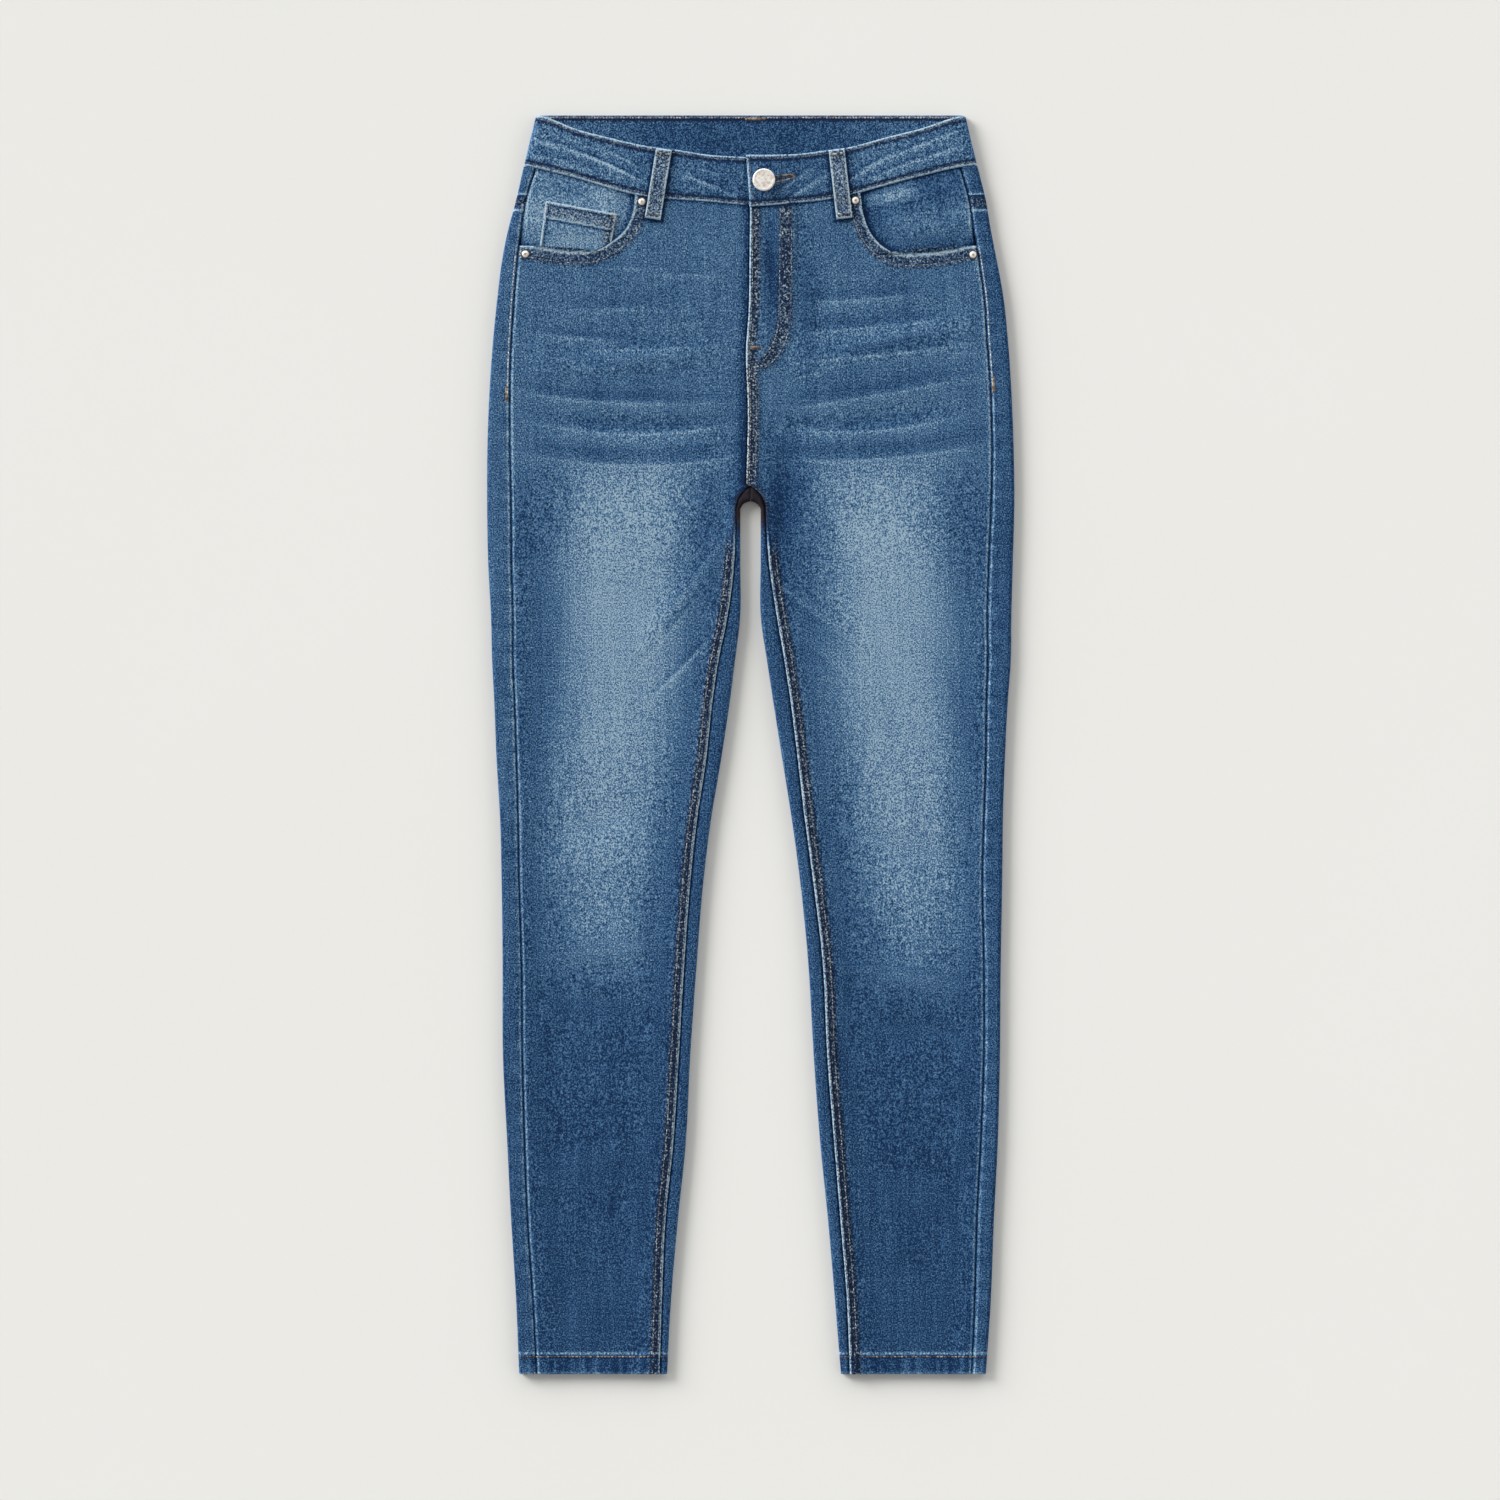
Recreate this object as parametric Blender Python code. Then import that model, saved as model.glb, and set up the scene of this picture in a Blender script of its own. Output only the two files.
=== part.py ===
"""Skinny jeans laid flat with the front up: waist towards +Y, hems towards -Y, underside on z = 0.

Left and right are as seen from above. Sizes are in millimetres, and become metres where a mesh is made.
Each half is worked out in its own distance from the centre line, positive outwards, so both halves share
every function: a point's X is half.side times that distance.
"""

from collections import namedtuple

import bpy
import numpy as np

MM = 0.001

# Cloth
WALL = 1.1
HEM_WALL = 2.0
BAND_WALL = 2.2
SEAM_GAP = 0.3
HALF_GAP = SEAM_GAP / 2
WAIST_GAP = 0.5

# Heights of the laid garment
EDGE_HEIGHT = 6.0
FOLD_RADIUS = EDGE_HEIGHT / 2
EDGE_SPREAD = 40.0
FOLD_MARGIN = 15.0
SEAT_LIFT = 1.5
LIFT_RUN = 20.0
LIFT_START_Y, LIFT_FULL_Y = 205.0, 232.0
BAND_TOP = 6.6
LAP_TOP = 8.6
UNDERLAP_TOP = 6.1

# Levels along the garment
WAIST_Y = 516.2
BACK_BAND_LOW_Y = 475.2
YOKE_SIDE_Y = 449.8
YOKE_CENTRE_Y = 417.8
HEM_FOLD_Y = -500.2
HEM_Y = -516.2

# Crotch: the inner edges of the legs meet in a round arc, and the four seams meet above it
CROTCH_RADIUS = 8.4
CROTCH_Y = 191.0
CROTCH_SEAM_DEPTH = 12.3
CROTCH_TURNS = (0.25, 0.5, 0.75, 1.0)
CROTCH_RISE = 14.0

# Rows of the seat above the pockets, where it starts to dip with the yoke, and rows of the yoke
SEAT_UPPER_YS = (408.8, 430.0)
SEAT_LEVEL_Y = 300.0
YOKE_MIDDLE_SIDE_Y, YOKE_MIDDLE_CENTRE_Y = 462.0, 447.0

# Raised seams of the front: felled inseam, front rise and the lap of the fly
INSEAM_WIDTH, INSEAM_RAISE = 7.5, 0.5
RISE_WIDTH, RISE_RAISE = 9.0, 1.0
FLY_WIDTH, FLY_RAISE = 37.0, 1.5
SEAM_SLOPE = 2.0
LAP_THICKENING = 0.6
FLY_CURVE_LOW_Y, FLY_CURVE_TOP_Y = 308.0, 352.0

Section = namedtuple(
    "Section", "y left_outer left_seam left_inseam left_inner right_inner right_inseam right_seam right_outer"
)
SECTIONS = (
    # Distances from the centre line to the four edges, and the seams' insets from those edges
    Section(516.2, 175.9, 10.0, 3.5, 8.4, 8.4, 3.5, 14.0, 176.3),
    Section(475.2, 185.8, 10.0, 3.5, 8.4, 8.4, 3.5, 14.0, 186.0),
    Section(446.5, 192.3, 8.2, 3.5, 8.4, 8.4, 3.5, 13.5, 193.1),
    Section(421.9, 198.9, 10.7, 3.5, 8.4, 8.4, 3.5, 14.0, 197.2),
    Section(397.3, 203.8, 12.7, 3.5, 8.4, 8.4, 3.5, 14.8, 202.1),
    Section(364.5, 207.9, 14.0, 3.5, 8.4, 8.4, 3.5, 16.0, 207.9),
    Section(331.7, 211.2, 15.2, 3.5, 8.4, 8.4, 3.5, 17.2, 211.2),
    Section(298.9, 213.6, 16.4, 3.5, 8.4, 8.4, 3.5, 17.2, 213.6),
    Section(249.7, 215.7, 18.5, 3.5, 8.4, 8.4, 3.5, 17.6, 215.7),
    Section(200.5, 216.1, 19.7, 3.6, 8.4, 8.4, 3.6, 18.9, 216.5),
    Section(151.3, 215.3, 19.3, 4.5, 8.4, 8.4, 6.2, 19.7, 215.3),
    Section(102.1, 212.8, 18.0, 10.3, 8.7, 8.7, 13.1, 19.7, 214.0),
    Section(69.3, 212.0, 17.2, 13.1, 12.7, 13.5, 13.9, 18.9, 213.6),
    Section(36.5, 210.3, 16.8, 13.9, 16.8, 18.5, 13.9, 17.6, 211.2),
    Section(-12.7, 208.3, 16.4, 11.9, 24.2, 26.2, 12.3, 15.6, 208.7),
    Section(-61.9, 205.4, 14.8, 11.1, 32.4, 34.0, 10.3, 15.6, 207.1),
    Section(-111.1, 204.2, 14.4, 10.3, 38.5, 40.6, 10.3, 16.4, 206.6),
    Section(-176.7, 203.4, 15.6, 9.8, 43.9, 47.2, 11.5, 13.9, 205.4),
    Section(-258.7, 203.0, 16.0, 9.0, 49.6, 52.1, 10.7, 13.1, 204.6),
    Section(-324.3, 199.7, 14.4, 9.8, 52.9, 57.0, 11.1, 13.9, 203.0),
    Section(-389.9, 196.4, 13.5, 9.8, 59.5, 63.6, 9.8, 13.9, 199.7),
    Section(-455.5, 192.3, 13.9, 7.0, 65.2, 69.3, 9.4, 13.1, 197.2),
    Section(-516.2, 189.8, 14.4, 5.7, 68.5, 74.2, 7.0, 11.5, 193.1),
)

MiddleHeight = namedtuple("MiddleHeight", "y z")
MIDDLE_HEIGHTS = (
    MiddleHeight(516.0, 6.0),
    MiddleHeight(260.0, 6.0),
    MiddleHeight(150.0, 5.2),
    MiddleHeight(0.0, 4.8),
    MiddleHeight(-420.0, 4.8),
    MiddleHeight(-516.0, 5.2),
)

Fold = namedtuple("Fold", "x y length width height turn")
FOLDS = (
    # Broad folds and hollows of the laid cloth: centre, half length, half width, height, and turn from +X
    Fold(16.0, 395.0, 60.0, 9.0, -0.6, 94.0),
    Fold(45.0, 365.0, 62.0, 8.0, 0.7, 92.0),
    Fold(24.0, 200.0, 52.0, 11.0, -0.9, 84.0),
    Fold(-20.0, 190.0, 46.0, 11.0, -0.6, 98.0),
    Fold(-58.0, 118.0, 52.0, 9.0, 0.5, 50.0),
    Fold(62.0, 122.0, 52.0, 9.0, 0.5, 130.0),
    Fold(-96.0, 262.0, 66.0, 10.0, -0.5, -4.0),
    Fold(104.0, 268.0, 66.0, 10.0, -0.5, 8.0),
    Fold(-90.0, 316.0, 60.0, 9.0, 0.5, 6.0),
    Fold(112.0, 330.0, 62.0, 9.0, 0.5, 12.0),
    Fold(-122.0, -60.0, 70.0, 16.0, -0.4, 20.0),
    Fold(128.0, -82.0, 70.0, 16.0, -0.4, 160.0),
)

BandEdge = namedtuple("BandEdge", "out top low")
BAND_EDGES = {
    # Front edges of the waistband, out from the centre line on each half
    "left": (
        BandEdge(-30.0, 481.0, 444.0),
        BandEdge(5.3, 481.8, 442.4),
        BandEdge(33.2, 483.4, 444.9),
        BandEdge(65.2, 488.3, 447.1),
        BandEdge(88.2, 491.2, 449.4),
        BandEdge(111.9, 496.5, 455.1),
        BandEdge(140.6, 503.9, 463.7),
        BandEdge(175.9, 516.0, 472.7),
        BandEdge(188.0, 516.2, 475.5),
    ),
    "right": (
        BandEdge(-4.0, 483.2, 440.6),
        BandEdge(23.4, 483.4, 442.4),
        BandEdge(39.8, 484.2, 444.0),
        BandEdge(64.4, 487.5, 446.9),
        BandEdge(77.5, 489.1, 449.4),
        BandEdge(109.5, 497.3, 458.0),
        BandEdge(137.4, 504.3, 465.4),
        BandEdge(175.9, 515.6, 474.0),
        BandEdge(188.0, 516.2, 475.5),
    ),
}

ScoopPoint = namedtuple("ScoopPoint", "out y fly_y")
SCOOPS = {
    # Edge of each front pocket from the side seam up to the waistband, and where its cloth row meets the fly
    "left": (
        ScoopPoint(187.6, 408.8, 372.7),
        ScoopPoint(159.1, 404.7, 384.2),
        ScoopPoint(143.1, 403.4, 393.2),
        ScoopPoint(127.5, 404.7, 401.4),
        ScoopPoint(115.2, 411.2, 408.8),
        ScoopPoint(102.9, 421.9, 418.6),
        ScoopPoint(96.4, 436.7, 430.9),
        ScoopPoint(94.7, 451.0, 442.0),
    ),
    "right": (
        ScoopPoint(184.9, 408.8, 372.7),
        ScoopPoint(161.1, 403.9, 384.2),
        ScoopPoint(137.4, 401.4, 393.2),
        ScoopPoint(121.0, 401.8, 401.4),
        ScoopPoint(107.8, 408.8, 408.8),
        ScoopPoint(98.0, 420.3, 418.6),
        ScoopPoint(92.3, 435.8, 429.0),
        ScoopPoint(89.8, 453.0, 440.0),
    ),
}

FlyPoint = namedtuple("FlyPoint", "y x")
FLY_EDGE = (
    # X of the lapped edge of the fly and of the front rise below it
    FlyPoint(483.0, -3.6),
    FlyPoint(442.0, -0.8),
    FlyPoint(400.0, -0.9),
    FlyPoint(349.0, -2.0),
    FlyPoint(327.0, -3.7),
    FlyPoint(275.0, -2.4),
    FlyPoint(211.0, -3.7),
)

BodyRow = namedtuple("BodyRow", "side_y fly_y")
BODY_ROWS = (
    # Rows of the front between the crotch and the pocket, at the side seam and at the fly
    BodyRow(231.7, 237.4),
    BodyRow(257.9, 262.0),
    BodyRow(284.1, 282.5),
    BodyRow(310.4, 300.5),
    BodyRow(335.0, 317.0),
    BodyRow(357.9, 333.3),
    BodyRow(380.1, 349.7),
    BodyRow(395.7, 362.0),
)

# Pocket facings and coin pocket
FACING_SINK, FACING_LEAST_SINK = 1.45, 0.5
FACING_FLAT, FACING_RUN = 4.0, 20.0
FACING_HIDDEN = 8.0
FACING_LEAD = 9.0
FACING_REACH = (0.0, 0.2, 0.4, 0.6, 0.8, 0.93, 1.0)
SCOOP_STEPS = 60
COIN_WALL = 0.9
COIN_POCKET = ((109.5, 434.9), (167.7, 445.6), (173.0, 407.2), (113.9, 412.6))
COIN_EDGE_GAP = 0.7
COIN_ROWS, COIN_COLUMNS = 6, 14

# Back pockets, flat on the floor: corners out from the centre line
POCKET_WALL = 1.2
BACK_POCKET = ((32, 396), (40, 268), (96, 250), (160, 268), (172, 396))

# Waistband
BAND_ROLL = 0.06
BAND_ROUNDING = 0.4
BAND_SIDE_INSET = 13.5
SIDE_MARGIN = 4.0
UNDERLAP = 24.0
LAP_START, LAP_STEP = 2.0, 4.0
LAP_RUN = 75.0

# Belt loops
LOOP_WIDTH = 13.0
LOOP_WALL, LOOP_TURN = 1.6, 0.9
LOOP_RAMP = 6.0
LOOP_BULGE = 0.8
STRAP_ROUNDING = 0.35
STRAP_COLUMNS = (-0.5, -0.38, 0.38, 0.5)
LOOP_SHARES = np.array([0.0, 0.06, 0.13, 0.2, 0.3, 0.5, 0.7, 0.86, 0.94, 1.0])
LOOP_ENDS = 0.1
BACK_LOOP_WALL = 1.2
BACK_LOOP_LOW_Y, BACK_LOOP_TOP_Y = 456.0, 515.7
FrontLoop = namedtuple("FrontLoop", "low_out low_y top_out top_y")
FRONT_LOOPS = {
    "left": FrontLoop(80.2, 430.7, 70.9, 487.9),
    "right": FrontLoop(77.0, 431.0, 70.5, 487.6),
}
BACK_LOOPS = {"belt_loop_back_left": -105.0, "belt_loop_back_centre": 3.7, "belt_loop_back_right": 105.0}

# Metal trim: radius and height of each ring, from the foot up
BUTTON_AT = (10.9, 462.2)
BUTTON_SIDES, RIVET_SIDES = 32, 16
BUTTON_PROFILE = (
    (4.4, 0.0), (4.4, 1.4), (6.6, 1.7), (8.6, 2.2), (9.2, 3.0), (8.9, 3.7), (8.2, 4.0), (7.4, 3.9),
    (6.4, 3.55), (3.0, 3.5), (0.9, 3.5),
)
RIVET_PROFILE = ((3.6, 0.0), (3.6, 0.35), (3.0, 0.95), (1.8, 1.3), (0.7, 1.4))
RIVETS = {
    "left": {"top": (89.0, 444.9), "side": (184.5, 402.0)},
    "right": {"top": (86.0, 445.9), "side": (182.4, 401.4)},
}

# Grid of the cloth
LEG_ROWS = 22
HEM_STEP = 0.6
FRONT_COLUMNS = 8
BAND_FRONT_COLUMNS, BAND_BACK_COLUMNS = 9, 13
FOLD_TURNS = np.radians((30, 60, 90, 120, 150))
UNDERSIDE_SHARES = np.array([0.0, 0.11, 0.5, 0.89, 1.0])
BACK_COLUMNS = 20
TOP_STRIP, SIDE_FOLD, UNDERSIDE, INNER_FOLD, INNER_STRIP = (
    slice(0, 3), slice(3, 8), slice(8, 13), slice(13, 18), slice(18, 20)
)


def hermite(knots, values, at):
    """Smooth curve through rising knots, with the slope at each knot taken from its neighbours."""
    knots = np.asarray(knots, float)
    values = np.asarray(values, float)
    at = np.clip(np.asarray(at, float), knots[0], knots[-1])
    slopes = np.gradient(values, knots)
    k = np.clip(np.searchsorted(knots, at, side="right") - 1, 0, len(knots) - 2)
    step = knots[k + 1] - knots[k]
    t = (at - knots[k]) / step
    rising = t * t * (3 - 2 * t)
    return (
        (1 - rising) * values[k]
        + rising * values[k + 1]
        + step * t * (1 - t) * ((1 - t) * slopes[k] - t * slopes[k + 1])
    )


def along(table, key, column, at):
    """A named column of a table, read smoothly at values of its key column."""
    rows = sorted(table, key=lambda row: getattr(row, key))
    return hermite([getattr(row, key) for row in rows], [getattr(row, column) for row in rows], at)


def smoothstep(t):
    """0 to 1 with level ends, as t goes from 0 to 1."""
    t = np.clip(t, 0, 1)
    return t * t * (3 - 2 * t)


class Half:
    """One half of the garment, seen from above: -1 is the left one."""

    def __init__(self, name, side):
        self.name = name
        self.side = side

    def outer(self, y):
        return along(SECTIONS, "y", self.name + "_outer", y)

    def inner(self, y):
        return along(SECTIONS, "y", self.name + "_inner", y)

    def seam(self, y):
        """Side seam on the upper face, out from the centre line."""
        return self.outer(y) - along(SECTIONS, "y", self.name + "_seam", y)

    def inseam_depth(self, y):
        """Inset of the inseam from the leg's inner edge, on the upper face."""
        return np.maximum(along(SECTIONS, "y", self.name + "_inseam", y), FOLD_RADIUS + SEAM_GAP)

    def fly(self, y):
        """Edge of the fly, out from the centre line of this half."""
        return self.side * along(FLY_EDGE, "y", "x", y)

    def band_reach(self):
        """Distances out of the waistband's rows of points on this half's front, rising."""
        side = self.outer(BACK_BAND_LOW_Y) - BAND_SIDE_INSET
        if self.side < 0:
            under = [-UNDERLAP, -UNDERLAP / 2, LAP_START]
            return np.append(under, np.linspace(LAP_START + LAP_STEP, side, BAND_FRONT_COLUMNS))
        return np.linspace(self.fly(BACK_BAND_LOW_Y), side, BAND_FRONT_COLUMNS + 2)

    def band_edge(self, column, out):
        """Upper or lower edge of the waistband's front, straight between its rows of points."""
        past_side = self.outer(BACK_BAND_LOW_Y) + np.array([-BAND_TOP / 2, SIDE_MARGIN])
        reach = np.append(self.band_reach(), past_side)
        return np.interp(out, reach, along(BAND_EDGES[self.name], "out", column, reach))

    def band_top(self, out):
        return self.band_edge("top", out)

    def band_low(self, out):
        return self.band_edge("low", out)


LEFT, RIGHT = Half("left", -1), Half("right", 1)
HALVES = (LEFT, RIGHT)


def edge_distance(half, out, y):
    """Distance from the nearest rolled edge: the outer edge, the leg's inner edge or the crotch arc."""
    leg = out - half.inner(y)
    arc = np.hypot(out, y - CROTCH_Y) - CROTCH_RADIUS
    return np.minimum(half.outer(y) - out, np.where(y < CROTCH_Y, leg, arc))


def folds(x, y):
    """Sum of the broad folds, each a soft bell along and across its own line."""
    total = np.zeros(np.broadcast(x, y).shape)
    for fold in FOLDS:
        turn = np.radians(fold.turn)
        run = (x - fold.x) * np.cos(turn) + (y - fold.y) * np.sin(turn)
        across = (y - fold.y) * np.cos(turn) - (x - fold.x) * np.sin(turn)
        total += fold.height * np.exp(-((run / fold.length) ** 2) - (across / fold.width) ** 2)
    return total


def top_height(half, out, y):
    """Upper face of the laid cloth: rolled edges, a flatter middle between them, and the broad folds."""
    out, y = np.broadcast_arrays(np.asarray(out, float), np.asarray(y, float))
    inside = edge_distance(half, out, y) - FOLD_RADIUS
    middle = along(MIDDLE_HEIGHTS, "y", "z", y)
    roll = 1 - smoothstep(inside / EDGE_SPREAD)
    rise = folds(half.side * out, y) * smoothstep(inside / FOLD_MARGIN)
    return middle + (EDGE_HEIGHT - middle) * roll + rise


def seat_lift(half, out, y):
    """Lift of the seat's underside over the back pockets and belt loops: none at the sides."""
    across = smoothstep((half.outer(y) - FOLD_RADIUS - np.abs(out)) / LIFT_RUN)
    return SEAT_LIFT * across * smoothstep((y - LIFT_START_Y) / (LIFT_FULL_Y - LIFT_START_Y))


def cloth_wall(y):
    """Thickness of a panel, doubled where the hem is turned up."""
    return np.where(np.asarray(y) > HEM_FOLD_Y, WALL, HEM_WALL)


def fabric(name, colour, roughness=0.85, metallic=0.0):
    """A named Principled material."""
    material = bpy.data.materials.new(name)
    material.use_nodes = True
    shader = material.node_tree.nodes["Principled BSDF"]
    shader.inputs["Base Color"].default_value = (*colour, 1)
    shader.inputs["Roughness"].default_value = roughness
    shader.inputs["Metallic"].default_value = metallic
    material.diffuse_color = (*colour, 1)
    return material


def make_object(name, points, faces, material):
    """An object from points in millimetres and faces, shaded smooth but for its corners."""
    mesh = bpy.data.meshes.new(name)
    mesh.from_pydata((np.asarray(points) * MM).tolist(), [], [list(map(int, face)) for face in faces])
    mesh.shade_smooth()
    mesh.set_sharp_from_angle(angle=np.radians(40))
    mesh.materials.append(material)
    made = bpy.data.objects.new(name, mesh)
    bpy.context.scene.collection.objects.link(made)
    return made


def sheet_solid(name, face, lining, material, cells=None):
    """Closed solid between two grids of points, face and lining, over the grid's wanted cells."""
    rows, columns = face.shape[:2]
    number = np.arange(rows * columns).reshape(rows, columns)
    quads = np.stack([number[:-1, :-1], number[:-1, 1:], number[1:, 1:], number[1:, :-1]], axis=-1)
    quads = quads.reshape(-1, 4) if cells is None else quads[cells]
    points = np.concatenate([face.reshape(-1, 3), lining.reshape(-1, 3)])
    count = rows * columns
    edges = np.concatenate([quads[:, [k, (k + 1) % 4]] for k in range(4)])
    known = {tuple(edge) for edge in edges.tolist()}
    rim = np.array([edge for edge in edges.tolist() if (edge[1], edge[0]) not in known])
    sides = np.column_stack([rim[:, 1], rim[:, 0], rim[:, 0] + count, rim[:, 1] + count])
    faces = np.concatenate([quads, quads[:, ::-1] + count, sides])
    used, faces = np.unique(faces, return_inverse=True)
    points, faces = points[used], faces.reshape(-1, 4)
    corners = points[faces]
    spans = np.cross(corners[:, 2] - corners[:, 0], corners[:, 3] - corners[:, 1])
    if (spans * corners.mean(axis=1)).sum() < 0:
        faces = faces[:, ::-1]
    return make_object(name, points, faces, material)


def turned(name, centre, profile, segments, material):
    """Solid of revolution about +Z: profile rows are radius and height, from foot to crown."""
    profile = np.array(profile, float)
    angle = np.arange(segments) * 2 * np.pi / segments
    ring = np.stack([np.cos(angle), np.sin(angle)], axis=-1)
    walls = np.empty((len(profile), segments, 3))
    walls[..., :2] = profile[:, None, :1] * ring
    walls[..., 2] = profile[:, None, 1]
    points = walls.reshape(-1, 3) + centre
    number = np.arange(len(points)).reshape(len(profile), segments)
    following = np.roll(number, -1, axis=1)
    walls = np.stack([number[:-1], following[:-1], following[1:], number[1:]], axis=-1)
    faces = walls.reshape(-1, 4).tolist()
    faces.append(number[0][::-1].tolist())
    faces.append(number[-1].tolist())
    return make_object(name, points, faces, material)


def to_world(half, out, y, z):
    """Points of one half from distances out, along and up."""
    return np.stack(np.broadcast_arrays(half.side * out, y, z), axis=-1)


def leg_levels():
    """Rows of the leg from the hem up to the crotch, with a pair of close rows where the hem turn-up ends."""
    rows = np.linspace(HEM_FOLD_Y + HEM_STEP, CROTCH_Y, LEG_ROWS)
    return np.concatenate([[HEM_Y, HEM_FOLD_Y - HEM_STEP], rows])


def crotch_path(half):
    """Inner edge of one leg from hem to crotch: points, the way into the cloth, inseam depth."""
    y = leg_levels()
    turn = np.array(CROTCH_TURNS) * np.pi / 2
    arc_out = CROTCH_RADIUS * np.cos(turn) + HALF_GAP
    arc_y = CROTCH_Y + CROTCH_RADIUS * np.sin(turn)
    edge = np.concatenate([np.column_stack([half.inner(y), y]), np.column_stack([arc_out, arc_y])])
    inward = np.concatenate(
        [np.tile([1.0, 0.0], (len(y), 1)), np.column_stack([np.cos(turn), np.sin(turn)])]
    )
    inward[-1] = (0, 1)
    top_depth = half.inseam_depth(CROTCH_Y)
    depth = np.concatenate(
        [half.inseam_depth(y), top_depth + (CROTCH_SEAM_DEPTH - top_depth) * np.array(CROTCH_TURNS) ** 2]
    )
    side_y = np.concatenate([y, CROTCH_Y + CROTCH_RISE * np.array(CROTCH_TURNS)])
    return side_y, edge, inward, depth


def back_grid(half, side_y, centre_y, leg_edge=None):
    """Outer face and lining of back cloth: top strip, side fold, underside, inner fold, inner strip.

    Rows in leg_edge (points, way in and inseam depth) curl round the inner edge of the leg. The others end at
    the centre back seam, and their last columns are left out of the wanted cells.
    """
    rows = len(side_y)
    edge, inward, depth = leg_edge or (np.empty((0, 2)), np.empty((0, 2)), np.empty(0))
    legs = len(edge)
    edge, inward = (np.concatenate([given, np.zeros((rows - legs, 2))]) for given in (edge, inward))
    depth = np.concatenate([depth, np.zeros(rows - legs)])
    radius = FOLD_RADIUS
    outer = half.outer(side_y)
    sine, cosine = np.sin(FOLD_TURNS), np.cos(FOLD_TURNS)
    out, y, z = (np.zeros((rows, BACK_COLUMNS)) for _ in range(3))
    normal = np.zeros((rows, BACK_COLUMNS, 3))
    y[:] = side_y[:, None]
    # Strip on the upper face, from the side seam to the fold
    seam = half.seam(side_y) + HALF_GAP
    out[:, TOP_STRIP] = np.column_stack([seam, (seam + outer - radius) / 2, outer - radius])
    # Side fold
    out[:, SIDE_FOLD] = (outer - radius)[:, None] + radius * sine
    z[:, SIDE_FOLD] = radius + radius * cosine
    normal[:, SIDE_FOLD, 0] = sine
    normal[:, SIDE_FOLD, 2] = cosine
    # Underside
    start = edge + inward * radius
    start[legs:] = np.column_stack([np.full(rows - legs, HALF_GAP), centre_y[legs:]])
    out[:, UNDERSIDE] = (outer - radius)[:, None] * (1 - UNDERSIDE_SHARES) + start[:, :1] * UNDERSIDE_SHARES
    y[:, UNDERSIDE] += (start[:, 1] - side_y)[:, None] * UNDERSIDE_SHARES
    z[:, UNDERSIDE] = seat_lift(half, out[:, UNDERSIDE], y[:, UNDERSIDE])
    normal[:, UNDERSIDE, 2] = -1
    # Inner fold and the strip up to the inseam
    away = radius - radius * sine
    out[:, INNER_FOLD] = edge[:, :1] + inward[:, :1] * away
    y[:, INNER_FOLD] = edge[:, 1:] + inward[:, 1:] * away
    z[:, INNER_FOLD] = radius - radius * cosine
    normal[:, INNER_FOLD, :2] = -inward[:, None] * sine[:, None]
    normal[:, INNER_FOLD, 2] = -cosine
    reach = np.column_stack([np.full(rows, radius), depth])
    out[:, INNER_STRIP] = edge[:, :1] + inward[:, :1] * reach
    y[:, INNER_STRIP] = edge[:, 1:] + inward[:, 1:] * reach
    for strip in (TOP_STRIP, INNER_STRIP):
        z[:, strip] = top_height(half, out[:, strip], y[:, strip])
        normal[:, strip, 2] = 1
    lining = np.stack([out, y, z], axis=-1) - normal * cloth_wall(side_y)[:, None, None]
    cells = np.ones((rows - 1, BACK_COLUMNS - 1), bool)
    cells[max(legs - 1, 0):, UNDERSIDE.stop - 1:] = False
    return to_world(half, out, y, z), to_world(half, *np.moveaxis(lining, -1, 0)), cells


def seat_rows(side_y):
    """Where rows of the seat meet the centre back seam: level low down, dipping with the yoke higher up."""
    dip = np.clip((side_y - SEAT_LEVEL_Y) / (YOKE_SIDE_Y - SEAT_LEVEL_Y), 0, 1)
    return side_y - (YOKE_SIDE_Y - YOKE_CENTRE_Y) * dip


def add_back(half, material):
    """Back panel: leg and seat in one piece, up to the yoke seam."""
    leg_y, *leg_edge = crotch_path(half)
    seat_y = np.array([row.side_y for row in BODY_ROWS] + [*SEAT_UPPER_YS, YOKE_SIDE_Y - HALF_GAP])
    side_y = np.concatenate([leg_y, seat_y])
    centre_y = np.concatenate([leg_y, seat_rows(seat_y)])
    face, lining, cells = back_grid(half, side_y, centre_y, leg_edge)
    return sheet_solid("back_" + half.name, face, lining, material, cells)


def add_yoke(half, material):
    """Back yoke between the back panel and the waistband, wrapped over the side to the side seam."""
    side_y = np.array([YOKE_SIDE_Y + HALF_GAP, YOKE_MIDDLE_SIDE_Y, BACK_BAND_LOW_Y - SEAM_GAP])
    centre_y = np.array([YOKE_CENTRE_Y + HALF_GAP, YOKE_MIDDLE_CENTRE_Y, BACK_BAND_LOW_Y - SEAM_GAP])
    face, lining, cells = back_grid(half, side_y, centre_y)
    share = (1 - np.cos(FOLD_TURNS)) / 2
    at_fold = half.band_low(half.outer(BACK_BAND_LOW_Y) - FOLD_RADIUS)
    for grid in (face, lining):
        grid[-1, TOP_STRIP, 1] = half.band_low(half.side * grid[-1, TOP_STRIP, 0]) - WAIST_GAP
        grid[-1, SIDE_FOLD, 1] = at_fold * (1 - share) + BACK_BAND_LOW_Y * share - WAIST_GAP
    return sheet_solid("yoke_" + half.name, face, lining, material, cells)


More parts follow.
